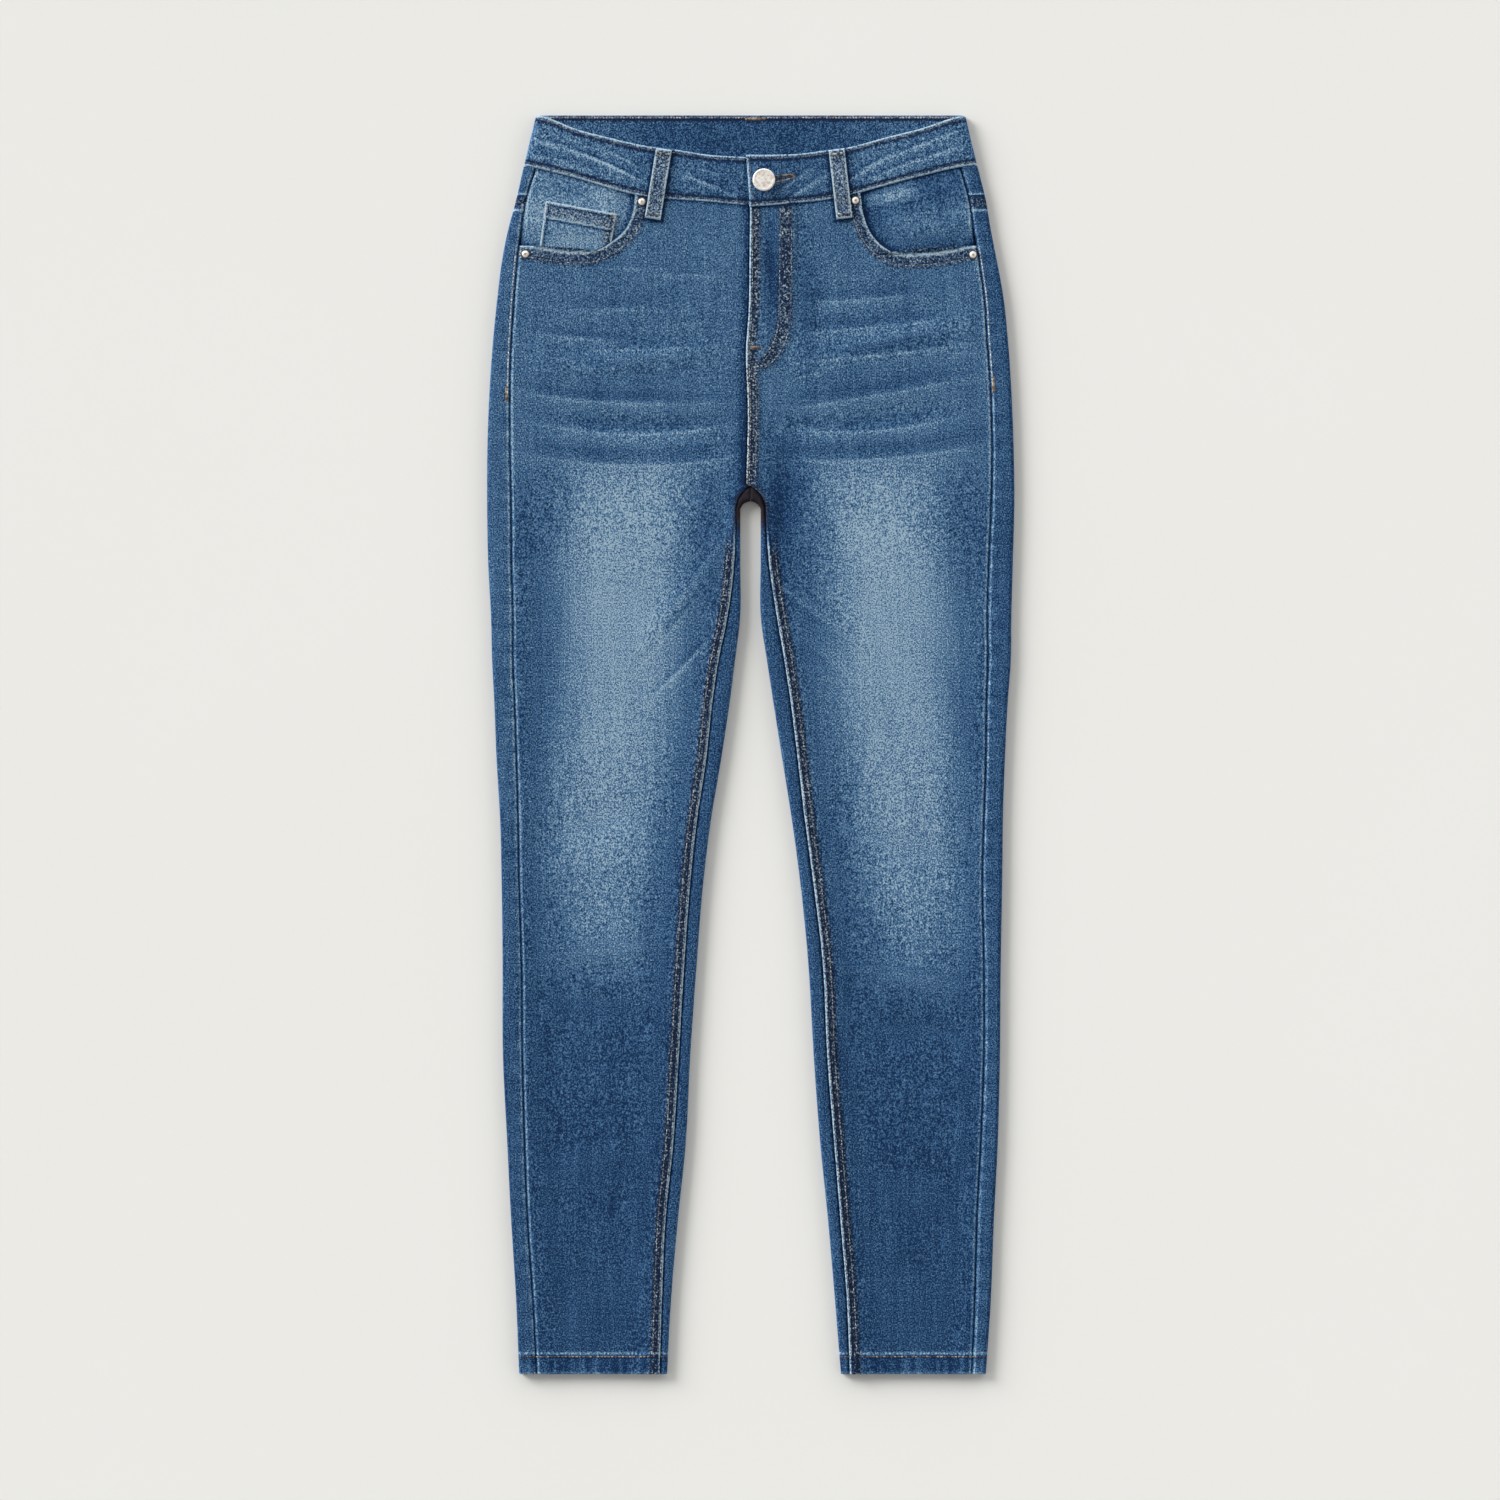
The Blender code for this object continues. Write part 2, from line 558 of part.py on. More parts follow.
def raised_band(half, y):
    """Width and height of the raised cloth along the inner edge of a front panel."""
    in_leg = y < CROTCH_Y
    if half is LEFT:
        return np.full(y.shape, INSEAM_WIDTH), np.where(in_leg, INSEAM_RAISE, 0.0)
    curve = np.clip((y - FLY_CURVE_LOW_Y) / (FLY_CURVE_TOP_Y - FLY_CURVE_LOW_Y), 0, 1)
    width = RISE_WIDTH + (FLY_WIDTH - RISE_WIDTH) * np.sqrt(1 - (1 - curve) ** 2)
    height = RISE_RAISE + (FLY_RAISE - RISE_RAISE) * smoothstep(curve)
    return np.where(in_leg, INSEAM_WIDTH, width), np.where(in_leg, INSEAM_RAISE, height)


def front_rows(half):
    """Outer and inner end of each row of a front panel, from the hem to the waistband."""
    side_y, edge, inward, depth = crotch_path(half)
    outer = [np.column_stack([half.seam(side_y) - HALF_GAP, side_y])]
    inner = [edge + inward * (depth + SEAM_GAP)[:, None]]
    for row in BODY_ROWS:
        outer.append([[half.seam(row.side_y) - HALF_GAP, row.side_y]])
        inner.append([[half.fly(row.fly_y) + HALF_GAP, row.fly_y]])
    for point in SCOOPS[half.name]:
        outer.append([[point.out, point.y]])
        inner.append([[half.fly(point.fly_y) + HALF_GAP, point.fly_y]])
    return np.concatenate(outer), np.concatenate(inner)


def add_front(half, material):
    """Front panel from hem to waistband, cut away at the pocket, with its raised inner seam or fly lap."""
    outer, inner = front_rows(half)
    width, height = raised_band(half, inner[:, 1])
    length = outer[:, 0] - inner[:, 0]
    plain = np.linspace(0, 1, FRONT_COLUMNS)
    lap = ((width + SEAM_SLOPE) / length)[:, None]
    reach = np.column_stack([1 - (1 - lap) * plain, width / length, np.zeros(len(length))])
    out = inner[:, :1] + length[:, None] * reach
    y = outer[:, 1:] + (inner[:, 1:] - outer[:, 1:]) * (1 - reach) ** 2
    y[-1] = half.band_low(out[-1]) - WAIST_GAP
    z = top_height(half, out, y)
    z[:, -2:] += height[:, None]
    under = z - cloth_wall(y)
    under[:, -2:] -= LAP_THICKENING * height[:, None]
    face, lining = to_world(half, out, y, z), to_world(half, out, y, under)
    return sheet_solid("front_" + half.name, face, lining, material)


def scoop_distance(half, out, y):
    """Distance from the edge of the front pocket, over the whole of that edge."""
    rows = SCOOPS[half.name]
    steps = np.linspace(0, len(rows) - 1, SCOOP_STEPS)
    knots = np.arange(len(rows))
    curve_out = np.interp(steps, knots, [row.out for row in rows])
    curve_y = np.interp(steps, knots, [row.y for row in rows])
    gaps = np.hypot(np.asarray(out)[..., None] - curve_out, np.asarray(y)[..., None] - curve_y)
    return gaps.min(axis=-1)


def facing_height(half, out, y):
    """Upper face of the pocket facing: it sinks towards the pocket's edge, to pass under the front panel."""
    sink = 1 - smoothstep((scoop_distance(half, out, y) - FACING_FLAT) / FACING_RUN)
    return top_height(half, out, y) - FACING_LEAST_SINK - (FACING_SINK - FACING_LEAST_SINK) * sink


def add_facing(half, material):
    """Denim facing in the scooped pocket: rays from the side seam's top past the pocket's edge."""
    rows = SCOOPS[half.name][::-1]
    rim = np.array([[row.out, row.y] for row in rows])
    top_out = half.seam(BACK_BAND_LOW_Y) - SEAM_GAP
    corner = np.array([top_out, half.band_low(top_out) - WAIST_GAP])
    share = np.linspace(0, 2, len(rows))
    start = corner - FACING_LEAD * np.column_stack([1 - smoothstep(share), smoothstep(share - 1)])
    spread = rim - start
    end = rim + FACING_HIDDEN * spread / np.hypot(spread[:, 0], spread[:, 1])[:, None]
    grid = start[:, None] + (end - start)[:, None] * np.array(FACING_REACH)[:, None]
    out, y = grid[..., 0], grid[..., 1]
    y[0] = half.band_low(out[0]) - WAIST_GAP
    y = np.minimum(y, half.band_low(out) - WAIST_GAP)
    out[-1] = half.seam(y[-1]) - SEAM_GAP
    out[:, 0] = np.minimum(out[:, 0], half.seam(y[:, 0]) - SEAM_GAP)
    z = facing_height(half, out, y)
    face, lining = to_world(half, out, y, z), to_world(half, out, y, z - WALL)
    return sheet_solid("facing_" + half.name, face, lining, material)


def bilinear(corners, rows, columns):
    """Grid over a four-cornered patch: corners run top inner, top outer, bottom outer, bottom inner."""
    a, b, c, d = np.array(corners, float)
    down = np.linspace(0, 1, rows)[:, None, None]
    across = np.linspace(0, 1, columns)[None, :, None]
    return (a * (1 - across) + b * across) * (1 - down) + (d * (1 - across) + c * across) * down


def add_coin_pocket(material):
    """Coin pocket on the left facing, down to the edge of the front panel."""
    grid = bilinear(COIN_POCKET, COIN_ROWS, COIN_COLUMNS)
    out, y = grid[..., 0], grid[..., 1]
    rows = SCOOPS["left"][::-1]
    edge_y = np.interp(out[-1], [row.out for row in rows], [row.y for row in rows]) + COIN_EDGE_GAP
    y = y + (edge_y - y[-1]) * np.linspace(0, 1, COIN_ROWS)[:, None] ** 2
    under = facing_height(LEFT, out, y) + SEAM_GAP
    face, lining = to_world(LEFT, out, y, under + COIN_WALL), to_world(LEFT, out, y, under)
    return sheet_solid("coin_pocket", face, lining, material)


def add_back_pocket(half, material):
    """Plain patch pocket on the seat, flat on the floor under the lifted seat."""
    points = [(half.side * out, y, z) for z in (0.0, POCKET_WALL) for out, y in BACK_POCKET]
    count = len(BACK_POCKET)
    faces = [[k, (k + 1) % count, (k + 1) % count + count, k + count] for k in range(count)]
    faces += [list(range(count))[::-1], list(range(count, 2 * count))]
    if half.side < 0:
        faces = [face[::-1] for face in faces]
    return make_object("back_pocket_" + half.name, points, faces, material)


def band_front(half, level, reach, top):
    """Points of a front run of the waistband: levels across its width, reach out at each column."""
    out = reach[:, None] + np.zeros(len(level))
    y = half.band_top(out) * (1 - level) + half.band_low(out) * level
    z = np.broadcast_to(top[:, None], out.shape)
    normal = np.zeros(out.shape + (3,))
    normal[..., 2] = 1
    return half.side * out, y, z, normal


def band_fold(half, level, radius, rising):
    """Points of the waistband's turn round one side, from the underside up when rising."""
    turn = FOLD_TURNS[::-1] if rising else FOLD_TURNS
    y_back = WAIST_Y * (1 - level) + BACK_BAND_LOW_Y * level
    outer = half.outer(y_back)
    out = outer - radius + radius * np.sin(turn)[:, None]
    y_front = half.band_top(outer - radius) * (1 - level) + half.band_low(outer - radius) * level
    share = (1 - np.cos(turn)[:, None]) / 2
    y = y_front * (1 - share) + y_back * share
    z = radius + radius * np.cos(turn)[:, None] + np.zeros(len(level))
    normal = np.zeros(out.shape + (3,))
    normal[..., 0] = half.side * np.sin(turn)[:, None]
    normal[..., 2] = np.cos(turn)[:, None]
    return half.side * out, y, z, normal


def add_waistband(material):
    """Doubled waistband in one strip: from under the lap, round the back, and up to the lap."""
    radius = BAND_TOP / 2
    level = np.array([0.0, BAND_ROLL, 0.5, 1 - BAND_ROLL, 1.0])
    left_reach = LEFT.band_reach()
    left_top = np.where(left_reach <= LAP_START, UNDERLAP_TOP, BAND_TOP)
    right_reach = RIGHT.band_reach()[::-1]
    lap_rise = 1 - smoothstep((right_reach - right_reach[-1]) / LAP_RUN)
    back_x = np.linspace(-left_reach[-1], right_reach[0], BAND_BACK_COLUMNS)[:, None] + 0 * level
    back_y = WAIST_Y * (1 - level) + BACK_BAND_LOW_Y * level + 0 * back_x
    lift = np.minimum(*(seat_lift(half, back_x, BACK_BAND_LOW_Y) for half in HALVES))
    down = np.zeros(back_x.shape + (3,))
    down[..., 2] = -1
    runs = [
        band_front(LEFT, level, left_reach, left_top),
        band_fold(LEFT, level, radius, rising=False),
        (back_x, back_y, lift, down),
        band_fold(RIGHT, level, radius, rising=True),
        band_front(RIGHT, level, right_reach, BAND_TOP + (LAP_TOP - BAND_TOP) * lap_rise),
    ]
    x, y, z, normal = (np.concatenate([run[k] for run in runs]) for k in range(4))
    rounded = np.isin(level, (0.0, 1.0)) * BAND_ROUNDING
    face = np.stack([x, y, z], axis=-1) - normal * rounded[:, None]
    lining = np.stack([x, y, z], axis=-1) - normal * (BAND_WALL - rounded[:, None])
    return sheet_solid("waistband", face, lining, material)


def strap(name, path, width, thickness, material):
    """Flat strap with rounded upper corners: path rows are the centre of its underside."""
    path = np.array(path, float)
    run = np.gradient(path[:, :2], axis=0)
    run /= np.hypot(run[:, 0], run[:, 1])[:, None]
    cross = np.column_stack([run[:, 1], -run[:, 0], np.zeros(len(run))])
    place = np.array(STRAP_COLUMNS)
    lower = path[:, None] + cross[:, None] * (place * width)[:, None]
    rise = np.zeros(lower.shape)
    rise[..., 2] = np.asarray(thickness)[:, None] - STRAP_ROUNDING * (np.abs(place) == place[-1])
    return sheet_solid(name, lower + rise, lower, material)


def add_front_loop(half, material):
    """Belt loop on the front: folded end on the panel, over the waistband, folded end at its top edge."""
    loop = FRONT_LOOPS[half.name]
    share = LOOP_SHARES
    out = loop.low_out + (loop.top_out - loop.low_out) * share
    y = loop.low_y + (loop.top_y - loop.low_y) * share
    on_band = smoothstep((y - half.band_low(out) + LOOP_RAMP) / LOOP_RAMP)
    panel = top_height(half, out, y)
    ground = np.maximum(panel * (1 - on_band) + BAND_TOP * on_band, panel)
    bulge = LOOP_BULGE * np.sin(np.pi * smoothstep(share)) ** 2
    path = to_world(half, out, y, ground + SEAM_GAP + bulge)
    thickness = LOOP_WALL + LOOP_TURN * ((share < LOOP_ENDS) | (share > 1 - LOOP_ENDS))
    return strap("belt_loop_front_" + half.name, path, LOOP_WIDTH, thickness, material)


def add_back_loop(name, x, material):
    """Belt loop on the back, flat on the floor under the lifted waistband."""
    path = [(x, BACK_LOOP_LOW_Y, 0), (x, BACK_LOOP_TOP_Y, 0)]
    return strap(name, path, LOOP_WIDTH, [BACK_LOOP_WALL] * 2, material)


def add_button(material):
    """Fly button on the lapped end of the waistband: shank, flared underside, rolled rim and shallow face."""
    x, y = BUTTON_AT
    return turned("button", (x, y, LAP_TOP + SEAM_GAP), BUTTON_PROFILE, BUTTON_SIDES, material)


def add_rivet(name, half, out, y, material):
    """Domed rivet head at a pocket's end."""
    foot = top_height(half, out, y) + SEAM_GAP
    return turned(name, (half.side * out, y, float(foot)), RIVET_PROFILE, RIVET_SIDES, material)


def empty_scene():
    """Remove every object that the scene starts with."""
    for old in list(bpy.data.objects):
        bpy.data.objects.remove(old, do_unlink=True)


empty_scene()
denim = fabric("denim", (0.045, 0.115, 0.235))
denim_back = fabric("denim_back", (0.035, 0.09, 0.19))
denim_band = fabric("denim_band", (0.06, 0.135, 0.25))
denim_facing = fabric("denim_facing", (0.075, 0.16, 0.27))
pale_metal = fabric("pale_metal", (0.72, 0.68, 0.6), 0.35, 1.0)
for half in HALVES:
    add_back(half, denim_back)
    add_yoke(half, denim_back)
    add_front(half, denim)
    add_facing(half, denim_facing)
    add_back_pocket(half, denim_back)
    add_front_loop(half, denim_band)
    for place, (out, y) in RIVETS[half.name].items():
        add_rivet("rivet_" + half.name + "_" + place, half, out, y, pale_metal)
add_coin_pocket(denim_facing)
add_waistband(denim_band)
for name, x in BACK_LOOPS.items():
    add_back_loop(name, x, denim_band)
add_button(pale_metal)
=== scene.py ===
"""Skinny jeans in mid-blue stretch denim, laid flat with the front up and seen from straight above.

Shapes are worked out in millimetres and become metres where a mesh is made. Left and right are as seen
from above. Each half uses its own distance "out" from the centre line, so both share every function.
"""

from collections import namedtuple

import bpy
import numpy as np
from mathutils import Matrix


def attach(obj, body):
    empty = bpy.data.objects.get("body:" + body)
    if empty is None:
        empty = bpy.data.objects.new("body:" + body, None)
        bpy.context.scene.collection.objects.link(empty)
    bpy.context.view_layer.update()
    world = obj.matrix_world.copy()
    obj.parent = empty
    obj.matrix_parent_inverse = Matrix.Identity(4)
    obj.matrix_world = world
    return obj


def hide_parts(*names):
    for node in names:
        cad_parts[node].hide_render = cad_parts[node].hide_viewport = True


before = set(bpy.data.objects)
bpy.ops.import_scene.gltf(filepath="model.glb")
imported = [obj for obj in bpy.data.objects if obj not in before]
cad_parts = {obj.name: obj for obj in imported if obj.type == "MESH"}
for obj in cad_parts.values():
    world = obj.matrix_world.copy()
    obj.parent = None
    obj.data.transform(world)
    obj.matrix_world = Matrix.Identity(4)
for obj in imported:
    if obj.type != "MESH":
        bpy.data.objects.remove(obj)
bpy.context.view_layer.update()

scene = bpy.context.scene
MM = 0.001


# The setting: a pale matt tabletop, seen from straight above through a long lens.
# One broad soft light comes low from the upper left. The sky is bright near the horizon beyond the waist and
# dim overhead, so that shadows stay soft beside the cloth and the gap between the legs is the darkest.
PICTURE_WIDTH = 1.230
PICTURE_CENTRE = (-0.0004, -0.0045)
CLOTH_HEIGHT = 0.005
LENS, SENSOR = 100.0, 36.0
LIGHT_ELEVATION, LIGHT_AZIMUTH, LIGHT_SPREAD = 19.0, 146.0, 26.0
LIGHT_STRENGTH, SKY_STRENGTH = 3.48, 2.29
SKY_STOPS = ((0.30, (1.0, 1.0, 1.0, 1.0)), (0.55, (0.11, 0.11, 0.11, 1.0)))
SKY_LEAN = 0.75
FLOOR_HALF = 6.0
FLOOR_SHADES = ((235, 234, 229), (237, 236, 232))
FAR_CLIP = 20.0


def srgb(red, green, blue):
    """Linear colour with alpha from 8-bit display values."""
    share = np.array([red, green, blue]) / 255
    linear = np.where(share <= 0.04045, share / 12.92, ((share + 0.055) / 1.055) ** 2.4)
    return (*map(float, linear), 1.0)


class Wire:
    """One shader socket, with arithmetic: each operation adds a Math node."""

    def __init__(self, finish, socket):
        self.finish = finish
        self.socket = socket

    def __add__(self, other):
        return self.finish.maths("ADD", self, other)

    def __sub__(self, other):
        return self.finish.maths("SUBTRACT", self, other)

    def __rsub__(self, other):
        return self.finish.maths("SUBTRACT", other, self)

    def __mul__(self, other):
        return self.finish.maths("MULTIPLY", self, other)

    __radd__ = __add__
    __rmul__ = __mul__


class Finish:
    """A Principled material whose constants sit on the shader and whose patterns are nodes."""

    def __init__(self, name, **constants):
        self.material = bpy.data.materials.new(name)
        self.material.use_nodes = True
        self.tree = self.material.node_tree
        self.shader = self.tree.nodes["Principled BSDF"]
        for socket, value in constants.items():
            self.shader.inputs[socket.replace("_", " ")].default_value = value

    def node(self, kind, inputs=(), output=0, stops=(), **settings):
        """Any node: settings first, then ramp stops, then the values or links of its sockets."""
        made = self.tree.nodes.new("ShaderNode" + kind)
        for key, value in settings.items():
            setattr(made, key, value)
        for number, (position, colour) in enumerate(stops):
            ramp = made.color_ramp.elements
            stop = ramp[number] if number < 2 else ramp.new(position)
            stop.position = position
            stop.color = colour
        for key, value in dict(inputs).items():
            if isinstance(value, Wire):
                self.tree.links.new(value.socket, made.inputs[key])
            else:
                made.inputs[key].default_value = value
        return Wire(self, made.outputs[output])

    def maths(self, operation, first, second=0.0):
        return self.node("Math", {0: first, 1: second}, operation=operation)

    def mix(self, factor, first, second):
        return self.node("Mix", {0: factor, 6: first, 7: second}, output=2, data_type="RGBA")

    def noise(self, place, scale, stretch=(1.0, 1.0, 1.0), detail=2.0):
        """Noise from -0.5 to 0.5 with features of 1 / scale metres."""
        placed = self.node("Mapping", {"Vector": place, "Scale": stretch})
        return self.node("TexNoise", {"Vector": placed, "Scale": scale, "Detail": detail}) - 0.5

    def attribute(self, name):
        return self.node("Attribute", output="Fac", attribute_name=name)

    def drive(self, socket, value):
        self.tree.links.new(value.socket, self.shader.inputs[socket])

    def bump(self, height, distance, strength=1.0):
        """Height pattern, in shares of distance metres, as the surface's normal."""
        inputs = {"Height": height, "Distance": distance, "Strength": strength}
        self.drive("Normal", self.node("Bump", inputs))


def set_the_table():
    """Floor, light, sky and camera."""
    corners = [(x * FLOOR_HALF, y * FLOOR_HALF, 0) for x, y in ((-1, -1), (1, -1), (1, 1), (-1, 1))]
    mesh = bpy.data.meshes.new("tabletop")
    mesh.from_pydata(corners, [], [(0, 1, 2, 3)])
    tabletop = bpy.data.objects.new("tabletop", mesh)
    scene.collection.objects.link(tabletop)
    paper = Finish("pale_tabletop", Roughness=0.9, Specular_IOR_Level=0.2)
    place = paper.node("TexCoord", output="Object")
    drift = paper.noise(place, 2.5) + 0.5
    paper.drive("Base Color", paper.mix(drift, *(srgb(*shade) for shade in FLOOR_SHADES)))
    mesh.materials.append(paper.material)

    sun = bpy.data.lights.new("window", "SUN")
    sun.energy = LIGHT_STRENGTH
    sun.angle = np.radians(LIGHT_SPREAD)
    window = bpy.data.objects.new("window", sun)
    window.rotation_euler = (0, np.radians(90 - LIGHT_ELEVATION), np.radians(LIGHT_AZIMUTH))
    scene.collection.objects.link(window)

    sky = bpy.data.worlds.new("pale_sky")
    sky.use_nodes = True
    nodes, links = sky.node_tree.nodes, sky.node_tree.links
    kinds = ("TexCoord", "SeparateXYZ", "ValToRGB", "Math")
    direction, split, shades, lean = (nodes.new("ShaderNode" + kind) for kind in kinds)
    for stop, (position, colour) in zip(shades.color_ramp.elements, SKY_STOPS):
        stop.position = position
        stop.color = colour
    links.new(direction.outputs["Generated"], split.inputs["Vector"])
    links.new(split.outputs["Z"], shades.inputs["Fac"])
    links.new(shades.outputs["Color"], nodes["Background"].inputs["Color"])
    lean.operation = "MULTIPLY_ADD"
    links.new(split.outputs["Y"], lean.inputs[0])
    lean.inputs[1].default_value = SKY_STRENGTH * SKY_LEAN
    lean.inputs[2].default_value = SKY_STRENGTH
    links.new(lean.outputs["Value"], nodes["Background"].inputs["Strength"])
    scene.world = sky
    scene.view_settings.view_transform = "Standard"

    lens = bpy.data.cameras.new("camera")
    lens.lens, lens.sensor_width = LENS, SENSOR
    lens.clip_end = FAR_CLIP
    camera = bpy.data.objects.new("camera", lens)
    camera.location = (*PICTURE_CENTRE, CLOTH_HEIGHT + PICTURE_WIDTH * LENS / SENSOR)
    scene.collection.objects.link(camera)
    scene.camera = camera


set_the_table()


# Back panels: one piece of stretch denim from the hem to the yoke on each side, which wraps round both
# edges of the leg and shows as a strip beside each seam. Cut from 1.1 mm twill, sewn to the front with a
# plain side seam and a felled inseam, and turned up twice at the hem.
WALL, HEM_WALL = 1.1, 2.0
SEAM_GAP, HALF_GAP = 0.3, 0.15
EDGE_HEIGHT, FOLD_RADIUS = 6.0, 3.0
EDGE_SPREAD, FOLD_MARGIN = 40.0, 15.0
SEAT_LIFT, LIFT_RUN = 1.5, 20.0
LIFT_START_Y, LIFT_FULL_Y = 205.0, 232.0
WAIST_Y, BACK_BAND_LOW_Y = 516.2, 475.2
YOKE_SIDE_Y, YOKE_CENTRE_Y = 449.8, 417.8
SEAT_LEVEL_Y = 300.0
HEM_FOLD_Y, HEM_Y = -500.2, -516.2
CROTCH_RADIUS, CROTCH_Y = 8.4, 191.0
CROTCH_SEAM_DEPTH, CROTCH_RISE, CROTCH_SHADE = 12.3, 14.0, 26.0
SOLE = 0.25
GROOVE_DEPTH, GROOVE_WIDTH = 0.9, 1.3
PUCKER_HEIGHT, PUCKER_REACH, PUCKER_LENGTH = 0.22, 5.0, 8.0
FELL_WIDTH, FELL_STITCHES = 10.4, (1.8, 7.2)
Line = namedtuple("Line", "strength at reach")
BACK_SEAM_WEAR = (Line(1.1, 1.6, 0.65), Line(-0.6, 0.0, 0.8))
STITCH_PITCH, STITCH_SHARE = 2.9, 0.82

Section = namedtuple(
    "Section", "y left_outer left_seam left_inseam left_inner right_inner right_inseam right_seam right_outer"
)
SECTIONS = [Section(*row) for row in (
    # Distances from the centre line to the four edges, and the seams' insets from those edges
    (516.2, 175.9, 10.0, 3.5, 8.4, 8.4, 3.5, 14.0, 176.3),
    (475.2, 185.8, 10.0, 3.5, 8.4, 8.4, 3.5, 14.0, 186.0),
    (446.5, 192.3, 8.2, 3.5, 8.4, 8.4, 3.5, 13.5, 193.1),
    (421.9, 198.9, 10.7, 3.5, 8.4, 8.4, 3.5, 14.0, 197.2),
    (397.3, 203.8, 12.7, 3.5, 8.4, 8.4, 3.5, 14.8, 202.1),
    (364.5, 207.9, 14.0, 3.5, 8.4, 8.4, 3.5, 16.0, 207.9),
    (331.7, 211.2, 15.2, 3.5, 8.4, 8.4, 3.5, 17.2, 211.2),
    (298.9, 213.6, 16.4, 3.5, 8.4, 8.4, 3.5, 17.2, 213.6),
    (249.7, 215.7, 18.5, 3.5, 8.4, 8.4, 3.5, 17.6, 215.7),
    (200.5, 216.1, 19.7, 3.6, 8.4, 8.4, 3.6, 18.9, 216.5),
    (151.3, 215.3, 19.3, 4.5, 8.4, 8.4, 6.2, 19.7, 215.3),
    (102.1, 212.8, 18.0, 10.3, 8.7, 8.7, 13.1, 19.7, 214.0),
    (69.3, 212.0, 17.2, 13.1, 12.7, 13.5, 13.9, 18.9, 213.6),
    (36.5, 210.3, 16.8, 13.9, 16.8, 18.5, 13.9, 17.6, 211.2),
    (-12.7, 208.3, 16.4, 11.9, 24.2, 26.2, 12.3, 15.6, 208.7),
    (-61.9, 205.4, 14.8, 11.1, 32.4, 34.0, 10.3, 15.6, 207.1),
    (-111.1, 204.2, 14.4, 10.3, 38.5, 40.6, 10.3, 16.4, 206.6),
    (-176.7, 203.4, 15.6, 9.8, 43.9, 47.2, 11.5, 13.9, 205.4),
    (-258.7, 203.0, 16.0, 9.0, 49.6, 52.1, 10.7, 13.1, 204.6),
    (-324.3, 199.7, 14.4, 9.8, 52.9, 57.0, 11.1, 13.9, 203.0),
    (-389.9, 196.4, 13.5, 9.8, 59.5, 63.6, 9.8, 13.9, 199.7),
    (-455.5, 192.3, 13.9, 7.0, 65.2, 69.3, 9.4, 13.1, 197.2),
    (-516.2, 189.8, 14.4, 5.7, 68.5, 74.2, 7.0, 11.5, 193.1),
)]
MiddleHeight = namedtuple("MiddleHeight", "y z")
MIDDLE_HEIGHTS = (
    MiddleHeight(516.0, 6.0), MiddleHeight(260.0, 6.0), MiddleHeight(150.0, 5.2),
    MiddleHeight(0.0, 4.8), MiddleHeight(-420.0, 4.8), MiddleHeight(-516.0, 5.2),
)
FlyPoint = namedtuple("FlyPoint", "y x")
FLY_EDGE = (
    # X of the lapped edge of the fly and of the front rise below it
    FlyPoint(483.0, -3.6), FlyPoint(442.0, -0.8), FlyPoint(400.0, -0.9), FlyPoint(349.0, -2.0),
    FlyPoint(327.0, -3.7), FlyPoint(275.0, -2.4), FlyPoint(211.0, -3.7),
)
Crease = namedtuple("Crease", "x y length width height turn fade")
CREASES = [Crease(*row) for row in (
    # Broad folds of the laid cloth: centre, half length and width, height, turn from +X, and fading, where
    # negative a painted shade in the fold
    (16.0, 395.0, 60.0, 9.0, -0.6, 94.0, 0.0),
    (45.0, 365.0, 62.0, 8.0, 0.7, 92.0, 0.0),
    (24.0, 200.0, 52.0, 11.0, -0.9, 84.0, -0.04),
    (-20.0, 190.0, 46.0, 11.0, -0.6, 98.0, 0.0),
    (-58.0, 118.0, 52.0, 9.0, 0.5, 50.0, 0.03),
    (62.0, 122.0, 52.0, 9.0, 0.5, 130.0, 0.03),
    (-96.0, 262.0, 66.0, 10.0, -0.5, -4.0, 0.0),
    (104.0, 268.0, 66.0, 10.0, -0.5, 8.0, 0.0),
    (-90.0, 316.0, 60.0, 9.0, 0.5, 6.0, 0.04),
    (112.0, 330.0, 62.0, 9.0, 0.5, 12.0, 0.04),
    (-122.0, -60.0, 70.0, 16.0, -0.4, 20.0, 0.0),
    (128.0, -82.0, 70.0, 16.0, -0.4, 160.0, 0.0),
    # Painted shade in the hollows beside the fly, the J stitching and the front rise
    (17.6, 384.0, 44.0, 6.5, -0.6, 92.0, -0.24),
    (46.0, 364.0, 56.0, 9.0, -0.2, 92.0, -0.12),
    (25.0, 196.0, 58.0, 14.0, -0.2, 88.0, -0.16),
    (-8.0, 232.0, 50.0, 5.0, 0.0, 90.0, -0.12),
    # Slack of the lower legs
    (-118.0, -168.0, 52.0, 12.0, 0.35, 8.0, 0.02),
    (-128.0, -214.0, 56.0, 12.0, -0.35, -6.0, -0.02),
    (132.0, -190.0, 54.0, 13.0, 0.35, -10.0, 0.02),
    (126.0, -236.0, 56.0, 12.0, -0.35, 7.0, -0.02),
    (-130.0, -345.0, 44.0, 14.0, 0.30, 14.0, 0.02),
    (134.0, -372.0, 44.0, 14.0, 0.30, -12.0, 0.02),
)]
Whisker = namedtuple("Whisker", "x y length reach turn bend strength")
